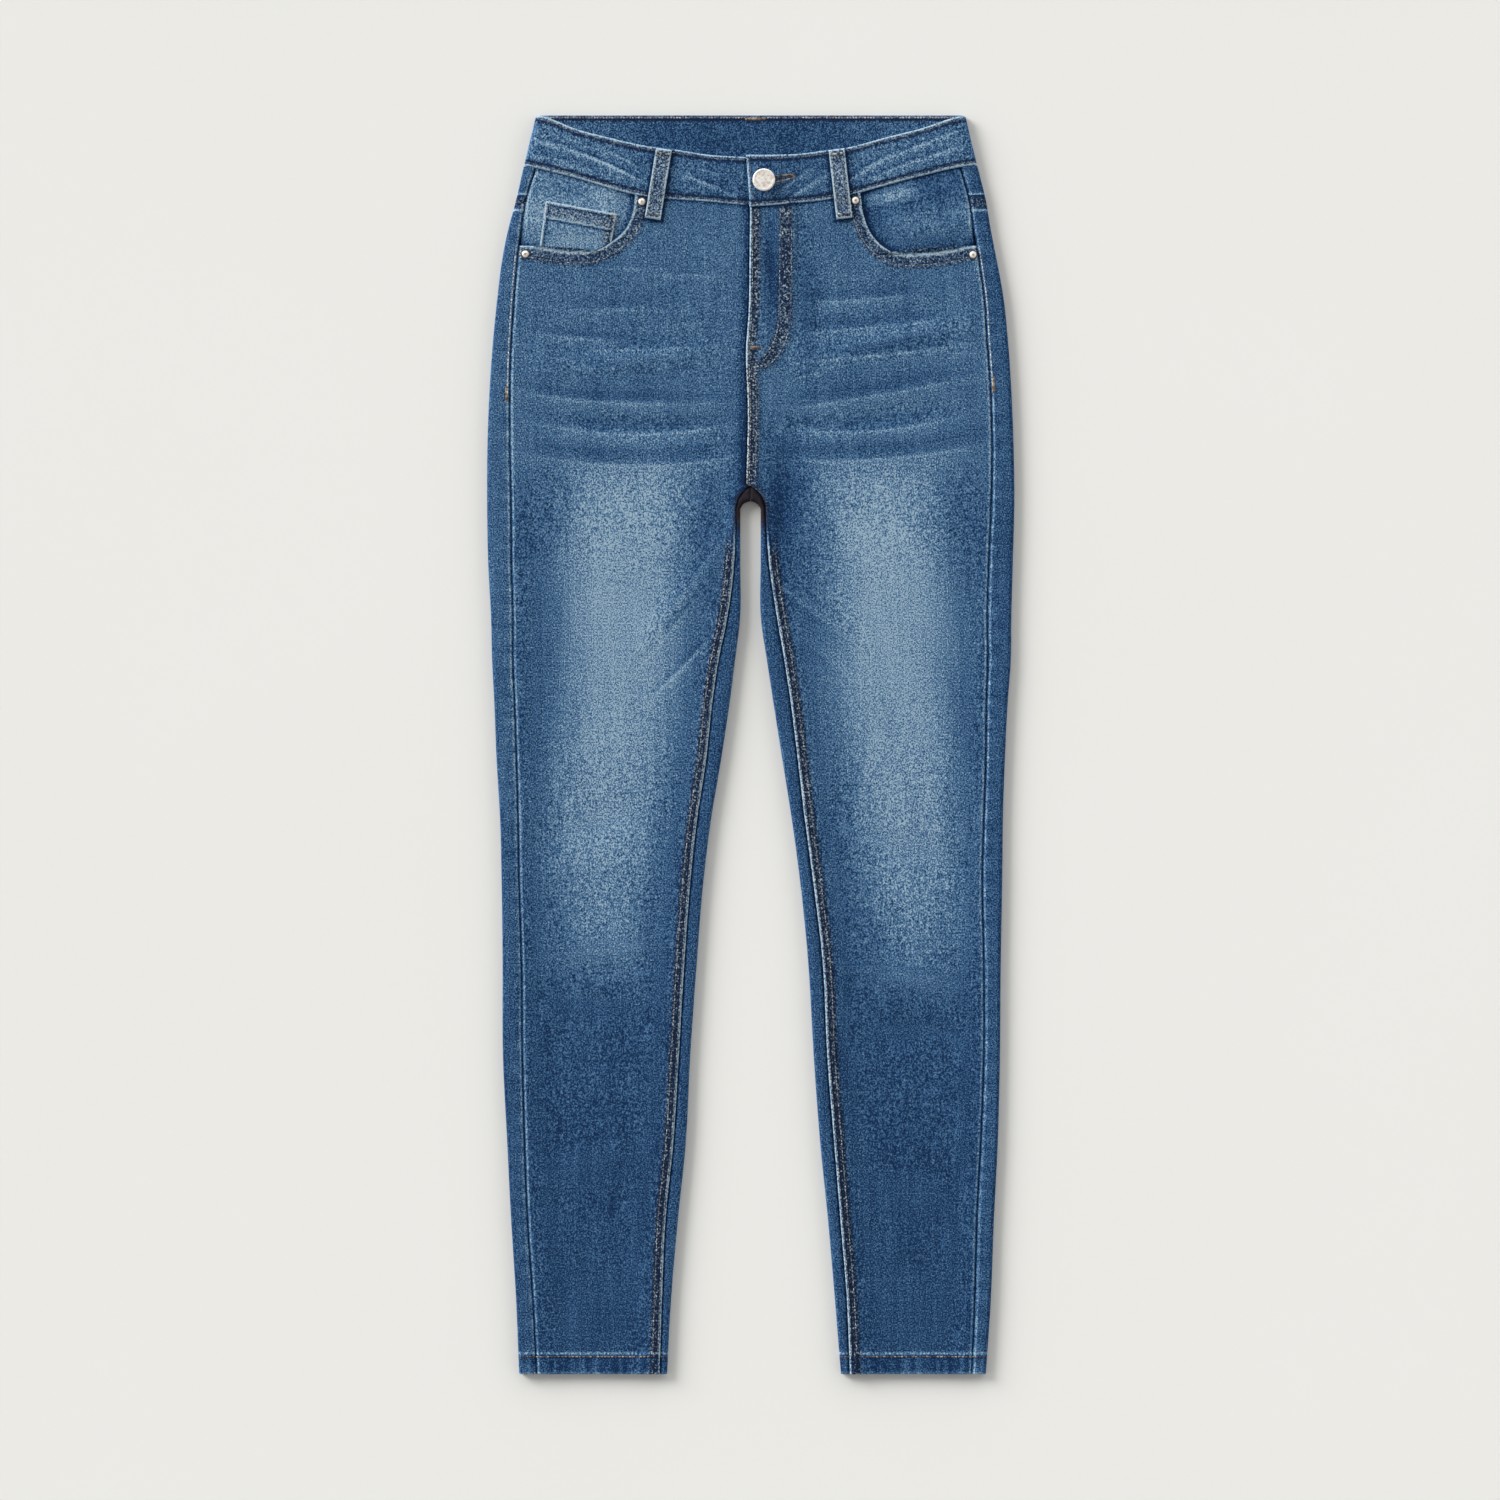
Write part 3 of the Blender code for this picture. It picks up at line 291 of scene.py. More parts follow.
WHISKERS = [Whisker(*row) for row in (
    # Worn crests: centre, half length, reach of the pale side, turn from +X, bend and strength
    (-84.0, 390.0, 30.0, 6.0, 0.0, 0.0, 0.40),
    (-52.0, 384.6, 30.0, 6.0, 0.0, 0.0004, 0.45),
    (-114.5, 356.0, 40.0, 9.0, 1.0, 0.0004, 0.60),
    (-138.5, 332.5, 34.0, 6.0, -5.6, 0.0006, 0.90),
    (-93.0, 323.5, 38.0, 8.0, 1.0, 0.0006, 0.55),
    (-60.0, 344.0, 34.0, 6.0, 4.0, 0.0006, 0.35),
    (-128.0, 281.0, 54.0, 8.0, -4.0, 0.0012, 0.95),
    (-66.0, 279.0, 40.0, 8.0, 1.0, 0.0, 0.60),
    (-95.0, 254.3, 74.0, 10.0, 0.0, 0.0013, 1.05),
    (-93.0, 228.2, 78.0, 13.0, 0.0, 0.0012, 1.10),
    (89.5, 364.5, 46.0, 8.0, 4.0, 0.0002, 0.90),
    (96.0, 341.5, 56.0, 8.0, 5.3, 0.0002, 0.95),
    (111.0, 319.5, 64.0, 9.0, 6.0, 0.0003, 0.95),
    (48.0, 303.0, 16.0, 3.0, 14.0, 0.0, 0.50),
    (105.0, 286.0, 66.0, 11.0, 9.7, 0.0003, 1.00),
    (95.0, 256.5, 62.0, 10.0, 3.0, 0.0016, 0.90),
    (110.0, 234.0, 78.0, 13.0, 4.5, 0.0008, 1.10),
    # Diagonals that run down the inner thighs
    (-43.9, 139.0, 34.0, 5.0, 55.0, 0.0, 0.60),
    (-55.4, 63.6, 34.0, 4.5, 46.0, 0.0, 1.20),
    (-70.0, 88.0, 34.0, 6.0, 50.0, 0.0, 0.55),
    (47.0, 112.0, 36.0, 6.0, 143.0, 0.0, 0.60),
    (64.0, 70.0, 32.0, 6.0, 140.0, 0.0, 0.35),
    # Faint breaks across the knees and shins
    (-118.0, -168.0, 44.0, 8.0, 6.0, 0.0, 0.30),
    (-128.0, -205.0, 44.0, 8.0, -6.0, 0.0, 0.25),
    (132.0, -190.0, 44.0, 8.0, -8.0, 0.0, 0.30),
    (130.0, -232.0, 44.0, 8.0, 6.0, 0.0, 0.25),
    (-128.0, -330.0, 40.0, 10.0, 10.0, 0.0, 0.20),
    (134.0, -352.0, 40.0, 10.0, -10.0, 0.0, 0.20),
)]
WHISKER_LINE, WHISKER_PALE, WHISKER_DARK = 0.27, 0.13, 0.13
WHISKER_WIDTH, WHISKER_RIDGE, RIDGE_WIDTH = 1.1, 0.10, 3.0
CREASE_GAIN = 1.5
Fade = namedtuple("Fade", "y base strength left_out left_width right_out right_width")
FADES = [Fade(*row) for row in (
    # Wash down the legs: plain level, then the strength, middle and half width of the pale front of each leg
    (516.0, 0.36, 0.00, 100.0, 46.0, 107.0, 46.0),
    (400.0, 0.37, 0.00, 100.0, 46.0, 107.0, 46.0),
    (258.0, 0.37, 0.02, 100.0, 50.0, 107.0, 50.0),
    (232.0, 0.34, 0.12, 100.0, 50.0, 107.0, 50.0),
    (214.0, 0.30, 0.40, 100.0, 50.0, 105.0, 48.0),
    (192.0, 0.28, 0.52, 102.0, 50.0, 105.0, 48.0),
    (135.0, 0.26, 0.56, 107.0, 50.0, 113.0, 50.0),
    (36.0, 0.25, 0.52, 107.0, 50.0, 116.0, 50.0),
    (-45.0, 0.25, 0.47, 119.0, 46.0, 126.0, 46.0),
    (-111.0, 0.24, 0.38, 122.0, 41.0, 131.0, 41.0),
    (-160.0, 0.22, 0.28, 121.0, 38.0, 136.0, 38.0),
    (-215.0, 0.19, 0.03, 121.0, 38.0, 138.0, 38.0),
    (-290.0, 0.155, 0.00, 121.0, 38.0, 138.0, 38.0),
    (-516.0, 0.145, 0.00, 121.0, 38.0, 138.0, 38.0),
)]

HEM_ROWS, CALF_ROWS, THIGH_ROWS, ARC_ROWS, SEAT_ROWS = 22, 130, 126, 10, 74
KNEE_Y, HEM_TOP_Y = 0.0, -496.0
TOP_COUNT, FOLD_COUNT, UNDER_COUNT, STRIP_COUNT = 9, 9, 26, 8
FOLD_TURNS = np.radians(np.linspace(0, 180, FOLD_COUNT + 2)[1:-1])


def hermite(knots, values, at):
    """Smooth curve through rising knots, with the slope at each knot taken from its neighbours."""
    knots = np.asarray(knots, float)
    values = np.asarray(values, float)
    at = np.clip(np.asarray(at, float), knots[0], knots[-1])
    slopes = np.gradient(values, knots)
    k = np.clip(np.searchsorted(knots, at, side="right") - 1, 0, len(knots) - 2)
    step = knots[k + 1] - knots[k]
    t = (at - knots[k]) / step
    rising = t * t * (3 - 2 * t)
    return (
        (1 - rising) * values[k]
        + rising * values[k + 1]
        + step * t * (1 - t) * ((1 - t) * slopes[k] - t * slopes[k + 1])
    )


def along(table, key, column, at):
    """A named column of a table, read smoothly at values of its key column."""
    rows = sorted(table, key=lambda row: getattr(row, key))
    return hermite([getattr(row, key) for row in rows], [getattr(row, column) for row in rows], at)


def smoothstep(t):
    """0 to 1 with level ends, as t goes from 0 to 1."""
    t = np.clip(t, 0, 1)
    return t * t * (3 - 2 * t)


def bell(distance, reach, power=2):
    """Soft line: e to the minus (distance / reach) to the power, so 1 on the line and 0 well away from it."""
    return np.exp(-(np.abs(distance / reach) ** power))


def lines(distance, table):
    """Sum of soft lines beside an edge: each one's strength times a bell about its own distance from it."""
    return sum(line.strength * bell(distance - line.at, line.reach) for line in table)


def oval(across, width, run, length):
    """Soft patch: e to the minus sum of both shares squared, so 1 in its middle and 0 well away from it."""
    return np.exp(-((across / width) ** 2) - (run / length) ** 2)


def wave(run, pitch, sway, drift):
    """Sine of the given pitch whose spacing is made uneven by a slower one."""
    return np.sin(2 * np.pi * run / pitch + sway * np.sin(run / drift))


class Half:
    """One half of the garment, seen from above: -1 is the left one."""

    def __init__(self, name, side):
        self.name = name
        self.side = side

    def outer(self, y):
        return along(SECTIONS, "y", self.name + "_outer", y)

    def inner(self, y):
        return along(SECTIONS, "y", self.name + "_inner", y)

    def seam(self, y):
        """Side seam on the upper face, out from the centre line."""
        return self.outer(y) - along(SECTIONS, "y", self.name + "_seam", y)

    def inseam_depth(self, y):
        """Inset of the inseam from the leg's inner edge, on the upper face."""
        return np.maximum(along(SECTIONS, "y", self.name + "_inseam", y), FOLD_RADIUS + SEAM_GAP)

    def fly(self, y):
        """Edge of the fly, out from the centre line of this half."""
        return self.side * along(FLY_EDGE, "y", "x", y)


LEFT, RIGHT = Half("left", -1), Half("right", 1)
HALVES = (LEFT, RIGHT)


def edge_distance(half, out, y):
    """Distance from the nearest rolled edge: the outer edge, the leg's inner edge or the crotch arc."""
    leg = out - half.inner(y)
    arc = np.hypot(out, y - CROTCH_Y) - CROTCH_RADIUS
    return np.minimum(half.outer(y) - out, np.where(y < CROTCH_Y, leg, arc))


def own_line(mark, x, y):
    """Distances along and across the line of a crease or whisker, from its centre."""
    turn = np.radians(mark.turn)
    run = (x - mark.x) * np.cos(turn) + (y - mark.y) * np.sin(turn)
    across = (y - mark.y) * np.cos(turn) - (x - mark.x) * np.sin(turn)
    return run, across


def creases(x, y, column):
    """Sum of the table's soft patches, each along and across its own line: heights or fading."""
    total = np.zeros(np.broadcast(x, y).shape)
    for crease in CREASES:
        run, across = own_line(crease, x, y)
        total += getattr(crease, column) * oval(run, crease.length, across, crease.width)
    return total


def whiskers(x, y, whisker_table):
    """Height and fading of worn crests: a thin pale line, a pale slope below it and a dark hollow above. A
    negative strength darkens the thin line, as painted shade in the facing's crease.
    """
    height = np.zeros(np.broadcast(x, y).shape)
    fade = np.zeros(height.shape)
    for whisker in whisker_table:
        run, across = own_line(whisker, x, y)
        across = across - whisker.bend * run**2
        crest = whisker.strength * bell(run, whisker.length, 4)
        line = bell(across, WHISKER_WIDTH)
        below = np.where(across < 0, 1.0, 0.0) * bell(across, whisker.reach)
        above = bell(across - 0.75 * whisker.reach, 0.55 * whisker.reach)
        fade += crest * (WHISKER_LINE * line + WHISKER_PALE * below - WHISKER_DARK * above)
        height += crest * WHISKER_RIDGE * (bell(across, RIDGE_WIDTH) - 0.5 * above)
    return height, fade


def top_height(half, out, y):
    """Upper face of the laid cloth: rolled edges, a flatter middle between them, and the creases."""
    out, y = np.broadcast_arrays(np.asarray(out, float), np.asarray(y, float))
    inside = edge_distance(half, out, y) - FOLD_RADIUS
    middle = along(MIDDLE_HEIGHTS, "y", "z", y)
    roll = 1 - smoothstep(inside / EDGE_SPREAD)
    folds = CREASE_GAIN * creases(half.side * out, y, "height") + whiskers(half.side * out, y, WHISKERS)[0]
    rise = folds * smoothstep(inside / FOLD_MARGIN)
    return middle + (EDGE_HEIGHT - middle) * roll + rise


def seam_groove(distance, y, phase=0.0):
    """Groove of a plain seam, with soft uneven puckers that die away from it."""
    ripple = np.sin(2 * np.pi * (y + phase) / PUCKER_LENGTH + 1.7 * np.sin(y / 23 + phase))
    pucker = PUCKER_HEIGHT * ripple * bell(distance, PUCKER_REACH)
    return pucker - GROOVE_DEPTH * bell(distance, GROOVE_WIDTH)


def seat_lift(half, out, y):
    """Lift of the seat's underside over the back pockets and belt loops: none at the sides."""
    across = smoothstep((half.outer(y) - FOLD_RADIUS - np.abs(out)) / LIFT_RUN)
    return SEAT_LIFT * across * smoothstep((y - LIFT_START_Y) / (LIFT_FULL_Y - LIFT_START_Y))


def cloth_wall(y):
    """Thickness of a panel, doubled where the hem is turned up."""
    return np.where(np.asarray(y) > HEM_FOLD_Y, WALL, HEM_WALL)


def wash(half, out, y):
    """How worn the blue is, 0 to 1: a plain level, the leg's pale front, and the crests of creases, with
    painted shade where a crease's fading is negative.
    """
    middle = along(FADES, "y", half.name + "_out", y)
    width = along(FADES, "y", half.name + "_width", y)
    pale = along(FADES, "y", "strength", y) * bell(out - middle, width, 3.2)
    level = along(FADES, "y", "base", y) + pale
    crests = whiskers(half.side * out, y, WHISKERS)[1]
    return level + CREASE_GAIN * creases(half.side * out, y, "fade") + crests


def to_world(half, out, y, z):
    """Points of one half from distances out, along and up."""
    return np.stack(np.broadcast_arrays(half.side * out, y, z), axis=-1)


def paint(made, fields):
    """Named values for each point, which the material reads."""
    for name, values in fields.items():
        attribute = made.data.attributes.new(name, "FLOAT", "POINT")
        attribute.data.foreach_set("value", np.asarray(values, np.float32).ravel())


def add_piece(name, points, faces, finish, fields=None):
    """An object at the origin from points in millimetres and faces, shaded smooth."""
    mesh = bpy.data.meshes.new(name)
    mesh.from_pydata((np.asarray(points) * MM).tolist(), [], np.asarray(faces).tolist())
    mesh.shade_smooth()
    mesh.materials.append(finish.material)
    made = bpy.data.objects.new(name, mesh)
    scene.collection.objects.link(made)
    paint(made, fields or {})
    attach(made, "root")
    return made


def cloth(name, face, lining, finish, cells=None, **fields):
    """Thin closed shell between two grids of points, over the grid's wanted cells, facing outwards."""
    rows, columns = face.shape[:2]
    number = np.arange(rows * columns).reshape(rows, columns)
    quads = np.stack([number[:-1, :-1], number[:-1, 1:], number[1:, 1:], number[1:, :-1]], axis=-1)
    quads = quads.reshape(-1, 4) if cells is None else quads[cells]
    points = np.concatenate([face.reshape(-1, 3), lining.reshape(-1, 3)])
    count = rows * columns
    start, end = quads.ravel(), np.roll(quads, -1, axis=1).ravel()
    rim = ~np.isin(start * count + end, end * count + start)
    start, end = start[rim], end[rim]
    sides = np.column_stack([end, start, start + count, end + count])
    faces = np.concatenate([quads, quads[:, ::-1] + count, sides])
    used, faces = np.unique(faces, return_inverse=True)
    points, faces = points[used], faces.reshape(-1, 4)
    corners = points[faces]
    spans = np.cross(corners[:, 2] - corners[:, 0], corners[:, 3] - corners[:, 1])
    if (spans * corners.mean(axis=1)).sum() < 0:
        faces = faces[:, ::-1]
    both = {key: np.tile(np.broadcast_to(value, (rows, columns)).ravel(), 2)[used]
            for key, value in fields.items()}
    return add_piece(name, points, faces, finish, both)


BLUES = (
    # The wash from unworn to worn: level, and display colour
    (0.00, (16, 41, 75)), (0.15, (36, 69, 105)), (0.38, (59, 96, 136)), (0.62, (88, 122, 153)),
    (0.84, (113, 146, 172)), (1.0, (158, 182, 197)),
)
SEAM_GREYS = ((0.0, (18, 28, 46)), (0.5, (90, 101, 114)), (1.0, (182, 184, 180)))
# Brown-black of the painted shade at the crotch and in the buttonhole's slit
PAINTED_SHADE_BROWN = (40, 32, 32)
TWILL_PITCH, TWILL_DEPTH = 0.9 * MM, 0.2 * MM


def denim(name, lift=0.0, speckle=1.0):
    """Washed twill: indigo warp over pale weft, paler where worn, greyer in bands, brown-black where shade is
    painted.
    """
    finish = Finish(name, Roughness=0.95, Specular_IOR_Level=0.08)
    place = finish.node("TexCoord", output="Object")
    grain = finish.noise(place, 1000, (1.0, 0.8, 1.0), 1.0)
    marl = finish.noise(place, 380, (1.0, 0.8, 1.0), 2.0)
    slub = finish.noise(place, 520, (1.0, 0.05, 1.0), 2.0)
    weft = finish.noise(place, 520, (0.06, 1.0, 1.0), 2.0)
    cloud = finish.noise(place, 38, (1.5, 0.4, 1.0), 3.0)
    rope = finish.noise(place, 600, (1.0, 1.0, 1.0), 1.0)
    band = finish.attribute("band")
    # The wash and wear values also carry painted shade: in folds, near the crotch, on the rolled edges, under
    # the waistband, and beside the belt loops and the fly's lap.
    wear = finish.attribute("wear")
    wash_level = finish.attribute("wash")
    tone = wash_level + wear * (rope * 1.2 + 0.5) - band * (0.22 - rope * 2.9) + lift
    grains = grain * (wash_level * 1.4 + 1.9) + marl * 0.10 + slub * 0.36 + weft * 0.20 + cloud * 0.22
    tone = tone + grains * speckle
    blue, grey = (finish.node("ValToRGB", {0: tone}, stops=[(at, srgb(*colour)) for at, colour in stops])
                  for stops in (BLUES, SEAM_GREYS))
    cloth_colour = finish.mix(finish.maths("MULTIPLY", band, 0.6), blue, grey)
    # Brown-black painted shade over the cloth, as much as the attribute gives
    finish.drive("Base Color", finish.mix(finish.attribute("soil"), cloth_colour, srgb(*PAINTED_SHADE_BROWN)))
    place_x, place_y = (finish.node("SeparateXYZ", {0: place}, output=axis) for axis in "XY")
    twill = finish.maths("SINE", (place_x * 0.85 + place_y * 0.5) * (2 * np.pi / TWILL_PITCH))
    finish.bump(twill * 0.16 + grain * 0.9 + marl * 0.3 + band * rope * 3.0 + 0.5, TWILL_DEPTH, 0.7)
    return finish


def hem_marks(out, y):
    """Tone and wear of the hem: a pale fold above the stitches, roping across the turn-up and a worn edge."""
    in_hem = smoothstep((HEM_FOLD_Y - 1 - y) / 2)
    roping = 0.6 * wave(out, 8.3, 2.6, 13) + 0.6 * np.sin(out / 3.7 + 2.1 * np.sin(out / 7))
    dashes = 0.8 + 0.4 * np.sin(2 * np.pi * out / STITCH_PITCH)
    wear = 1.5 * dashes * bell(y - HEM_FOLD_Y - 1.0, 1.1) + 1.1 * bell(y - HEM_Y, 1.7)
    return in_hem * (0.15 * roping - 0.03), wear - 0.5 * bell(y - HEM_FOLD_Y + 2.0, 1.2)


def leg_edge_path(half):
    """Inner edge of one leg from hem to crotch: side levels, points, the way into the cloth, inseam depth."""
    y = np.concatenate([
        np.linspace(HEM_Y, HEM_TOP_Y, HEM_ROWS), np.linspace(HEM_TOP_Y, KNEE_Y, CALF_ROWS)[1:],
        np.linspace(KNEE_Y, CROTCH_Y, THIGH_ROWS)[1:],
    ])
    share = np.linspace(0, 1, ARC_ROWS + 1)[1:]
    turn = share * np.pi / 2
    radius = CROTCH_RADIUS
    arc = np.column_stack([radius * np.cos(turn) + HALF_GAP, CROTCH_Y + radius * np.sin(turn)])
    edge = np.concatenate([np.column_stack([half.inner(y), y]), arc])
    inward = np.concatenate([np.tile([1.0, 0.0], (len(y), 1)), np.column_stack([np.cos(turn), np.sin(turn)])])
    top_depth = half.inseam_depth(CROTCH_Y)
    depth = np.concatenate([half.inseam_depth(y), top_depth + (CROTCH_SEAM_DEPTH - top_depth) * share**2])
    return np.concatenate([y, CROTCH_Y + CROTCH_RISE * share]), edge, inward, depth


def back_sheet(name, half, finish, side_y, centre_y, leg_edge=None, band_row=None):
    """Back cloth as one grid: strip on top, side fold, underside, inner fold, strip up to the inseam.

    Each row is the leg's section there: straight runs joined by half circles of the fold's radius. Rows of
    leg_edge curl round the leg's inner edge, and the others end at the centre back seam.
    """
    rows = len(side_y)
    edge, inward, depth = leg_edge or (np.empty((0, 2)), np.empty((0, 2)), np.empty(0))
    legs = len(edge)
    edge, inward = (np.concatenate([given, np.zeros((rows - legs, 2))]) for given in (edge, inward))
    depth = np.concatenate([depth, np.zeros(rows - legs)])
    counts = np.cumsum([0, TOP_COUNT, FOLD_COUNT, UNDER_COUNT, FOLD_COUNT, STRIP_COUNT])
    top, side, under, inner, strip = (slice(a, b) for a, b in zip(counts[:-1], counts[1:]))
    radius = FOLD_RADIUS
    outer = half.outer(side_y)
    sine, cosine = np.sin(FOLD_TURNS), np.cos(FOLD_TURNS)
    out, y, z = (np.zeros((rows, counts[-1])) for _ in range(3))
    normal = np.zeros((rows, counts[-1], 3))
    y[:] = side_y[:, None]
    seam = half.seam(side_y) + HALF_GAP
    near_seam = np.linspace(0, 1, TOP_COUNT) ** 1.6
    out[:, top] = seam[:, None] + (outer - radius - seam)[:, None] * near_seam
    out[:, side] = (outer - radius)[:, None] + radius * sine
    z[:, side] = radius + radius * cosine
    normal[:, side, 0], normal[:, side, 2] = sine, cosine
    start = edge + inward * radius
    start[legs:] = np.column_stack([np.full(rows - legs, HALF_GAP), centre_y[legs:]])
    share = smoothstep(np.linspace(0, 1, UNDER_COUNT))
    out[:, under] = (outer - radius)[:, None] * (1 - share) + start[:, :1] * share
    y[:, under] += (start[:, 1] - side_y)[:, None] * share
    z[:, under] = seat_lift(half, out[:, under], y[:, under])
    normal[:, under, 2] = -1
    away = radius - radius * sine
    out[:, inner] = edge[:, :1] + inward[:, :1] * away
    y[:, inner] = edge[:, 1:] + inward[:, 1:] * away
    z[:, inner] = radius - radius * cosine
    normal[:, inner, :2] = -inward[:, None] * sine[:, None]
    normal[:, inner, 2] = -cosine
    reach = radius + (depth - radius)[:, None] * np.linspace(0, 1, STRIP_COUNT) ** 0.7
    out[:, strip] = edge[:, :1] + inward[:, :1] * reach
    y[:, strip] = edge[:, 1:] + inward[:, 1:] * reach
    distance = np.full(out.shape, 99.0)
    distance[:, top] = out[:, top] - seam[:, None]
    distance[:, strip] = depth[:, None] - reach
    for run in (top, strip):
        z[:, run] = top_height(half, out[:, run], y[:, run]) + seam_groove(distance[:, run], y[:, run], 3.0)
        normal[:, run, 2] = 1
    if band_row is not None:
        y[-1, top], y[-1, side] = band_row(out[-1, top], (1 - cosine) / 2)
    z = np.maximum(z, SOLE)
    lining = np.stack([out, y, z], axis=-1) - normal * cloth_wall(side_y)[:, None, None]
    cells = np.ones((rows - 1, counts[-1] - 1), bool)
    cells[max(legs - 1, 0):, under.stop - 1:] = False
    tone = np.empty(out.shape)
    in_crotch = smoothstep((side_y - CROTCH_Y + CROTCH_SHADE) / CROTCH_SHADE)[:, None]
    mottle = wave(y, 17, 2.3, 29) * bell(distance, 9)
    left_tone = (0.35 - 0.13 * smoothstep((140 - side_y) / 420))[:, None]
    tone[:, top] = tone[:, side] = left_tone if half is LEFT else 0.22
    # Painted shade on the rolled side fold, darker than the strip above it
    tone[:, side] -= 0.12
    tone[:, top] += 0.09 * mottle[:, top]
    # Painted shade: the inner fold and strip grow darker towards the crotch
    tone[:, inner] = tone[:, strip] = 0.19 - 0.10 * in_crotch
    tone[:, under] = back_wash(half, out[:, under], y[:, under])
    worn = lines(distance, BACK_SEAM_WEAR)
    worn[:, strip] = -1.0 * bell(distance[:, strip], 1.0)
    from_yoke = y - YOKE_SIDE_Y
    from_fell = from_yoke + FELL_WIDTH / 2
    seam_line = 1.5 * bell(np.abs(from_fell) - 6.6, 0.9) - 1.3 * bell(from_yoke, 1.0)
    felled = bell(from_fell, 4.6, 4)
    for run in (top, side):
        worn[:, run] += seam_line[:, run]
    felled[:, under.start:] = 0
    # Brown-black painted shade on the inner fold and strip at the crotch
    soil = np.zeros(out.shape)
    soil[:, inner] = soil[:, strip] = 0.93 * smoothstep((side_y - CROTCH_Y + 24) / 22)[:, None]
    hem_tone, hem_wear = hem_marks(out, y)
    return cloth(name, to_world(half, out, y, z), to_world(half, *np.moveaxis(lining, -1, 0)), finish, cells,
                 wash=tone + hem_tone, wear=worn + hem_wear, band=0.9 * felled, soil=soil)


STITCH_WIDTH, STITCH_HEIGHT, STITCH_LIFT, STITCH_SINK = 0.62, 0.5, 0.06, 0.22
BEAD_RINGS = np.array([-1.0, -0.62, 0.62, 1.0])
BEAD_GIRTHS = np.array([0.4, 1.0, 1.0, 0.4])
BEAD_SIDES = 6
UP, DOWN = (0.0, 0.0, 1.0), (0.0, 0.0, -1.0)


def sew(name, seams, finish, pitch=STITCH_PITCH, width=STITCH_WIDTH):
    """Stitches along seams as one joined mesh. A seam is points along it and the way up there.

    Each stitch is a six-sided bead on the chord between two places of the run, its ends sunk in the cloth.
    """
    centres, ways, ups = [], [], []
    for points, up in seams:
        points = np.asarray(points, float)
        up = np.broadcast_to(np.asarray(up, float), points.shape)
        run = np.concatenate([[0], np.cumsum(np.linalg.norm(np.diff(points, axis=0), axis=1))])
        count = max(int(run[-1] / pitch), 1)
        middle = (np.arange(count) + 0.5) * run[-1] / count
        half_stitch = 0.5 * STITCH_SHARE * min(pitch, run[-1] / count)
        ends = [np.column_stack([np.interp(middle + shift, run, points[:, k]) for k in range(3)])
                for shift in (-half_stitch, half_stitch)]
        centres.append((ends[0] + ends[1]) / 2)
        ways.append((ends[1] - ends[0]) / 2)
        ups.append(np.column_stack([np.interp(middle, run, up[:, k]) for k in range(3)]))
    centre, way, up = (np.concatenate(rows)[:, None, None] for rows in (centres, ways, ups))
    side = np.cross(up, way)
    side /= np.linalg.norm(side, axis=-1, keepdims=True)
    angle = np.arange(BEAD_SIDES) * 2 * np.pi / BEAD_SIDES
    ring, girth = BEAD_RINGS[:, None, None], BEAD_GIRTHS[:, None, None]
    across = girth * np.cos(angle)[:, None] * width / 2
    rise = girth * np.sin(angle)[:, None] * STITCH_HEIGHT / 2 + STITCH_LIFT - STITCH_SINK * ring**4
    points = centre + way * ring + side * across + up * rise
    number = np.arange(len(BEAD_RINGS) * BEAD_SIDES).reshape(len(BEAD_RINGS), BEAD_SIDES)
    following = np.roll(number, -1, axis=1)
    quads = np.stack([number[:-1], number[1:], following[1:], following[:-1]], axis=-1).reshape(-1, 4)
    caps = [number[0, [0, 1, 2, 3]], number[0, [0, 3, 4, 5]],
            number[-1, [3, 2, 1, 0]], number[-1, [5, 4, 3, 0]]]
    bead = np.concatenate([quads, caps])
    faces = bead + number.size * np.arange(len(points))[:, None, None]
    return add_piece(name, points.reshape(-1, 3), faces.reshape(-1, 4), finish)


def tack(centre, turn, length, up=UP, stitch=2.2, spacing=0.5):
    """Bar tack: short stitches side by side across a bar of the given length, turned from +X."""
    way = np.array([np.cos(np.radians(turn)), np.sin(np.radians(turn)), 0.0])
    across = np.array([-way[1], way[0], 0.0]) * stitch / 2
    places = np.arange(-length / 2, length / 2 + spacing / 2, spacing)[:, None]
    middles = np.asarray(centre, float) + way * places
    return [(np.array([middle - across, middle + across]), up) for middle in middles]


def leg_ring(half, y):
    """Closed run round the leg at one level: the upper face, both folds and the underside."""
    inner, outer = float(half.inner(y)) + FOLD_RADIUS, float(half.outer(y)) - FOLD_RADIUS
    turn = np.radians(np.linspace(0, 180, 13))
    top = np.linspace(inner, outer, 90)
    under = np.linspace(outer, inner, 40)
    sine, cosine = np.sin(turn), np.cos(turn)
    out = np.concatenate([top, outer + FOLD_RADIUS * sine, under, inner - FOLD_RADIUS * sine])
    z = np.concatenate([top_height(half, top, y) + seam_groove(half.seam(y) - top, y),
                        FOLD_RADIUS + FOLD_RADIUS * cosine, np.full(len(under), SOLE),
                        FOLD_RADIUS - FOLD_RADIUS * cosine])
    z = np.maximum(z, SOLE)
    up_out = np.concatenate([0 * top, sine, 0 * under, -sine])
    up_z = np.concatenate([1 + 0 * top, cosine, -1 + 0 * under, -cosine])
    return to_world(half, out, y, z), np.column_stack([half.side * up_out, 0 * out, up_z])


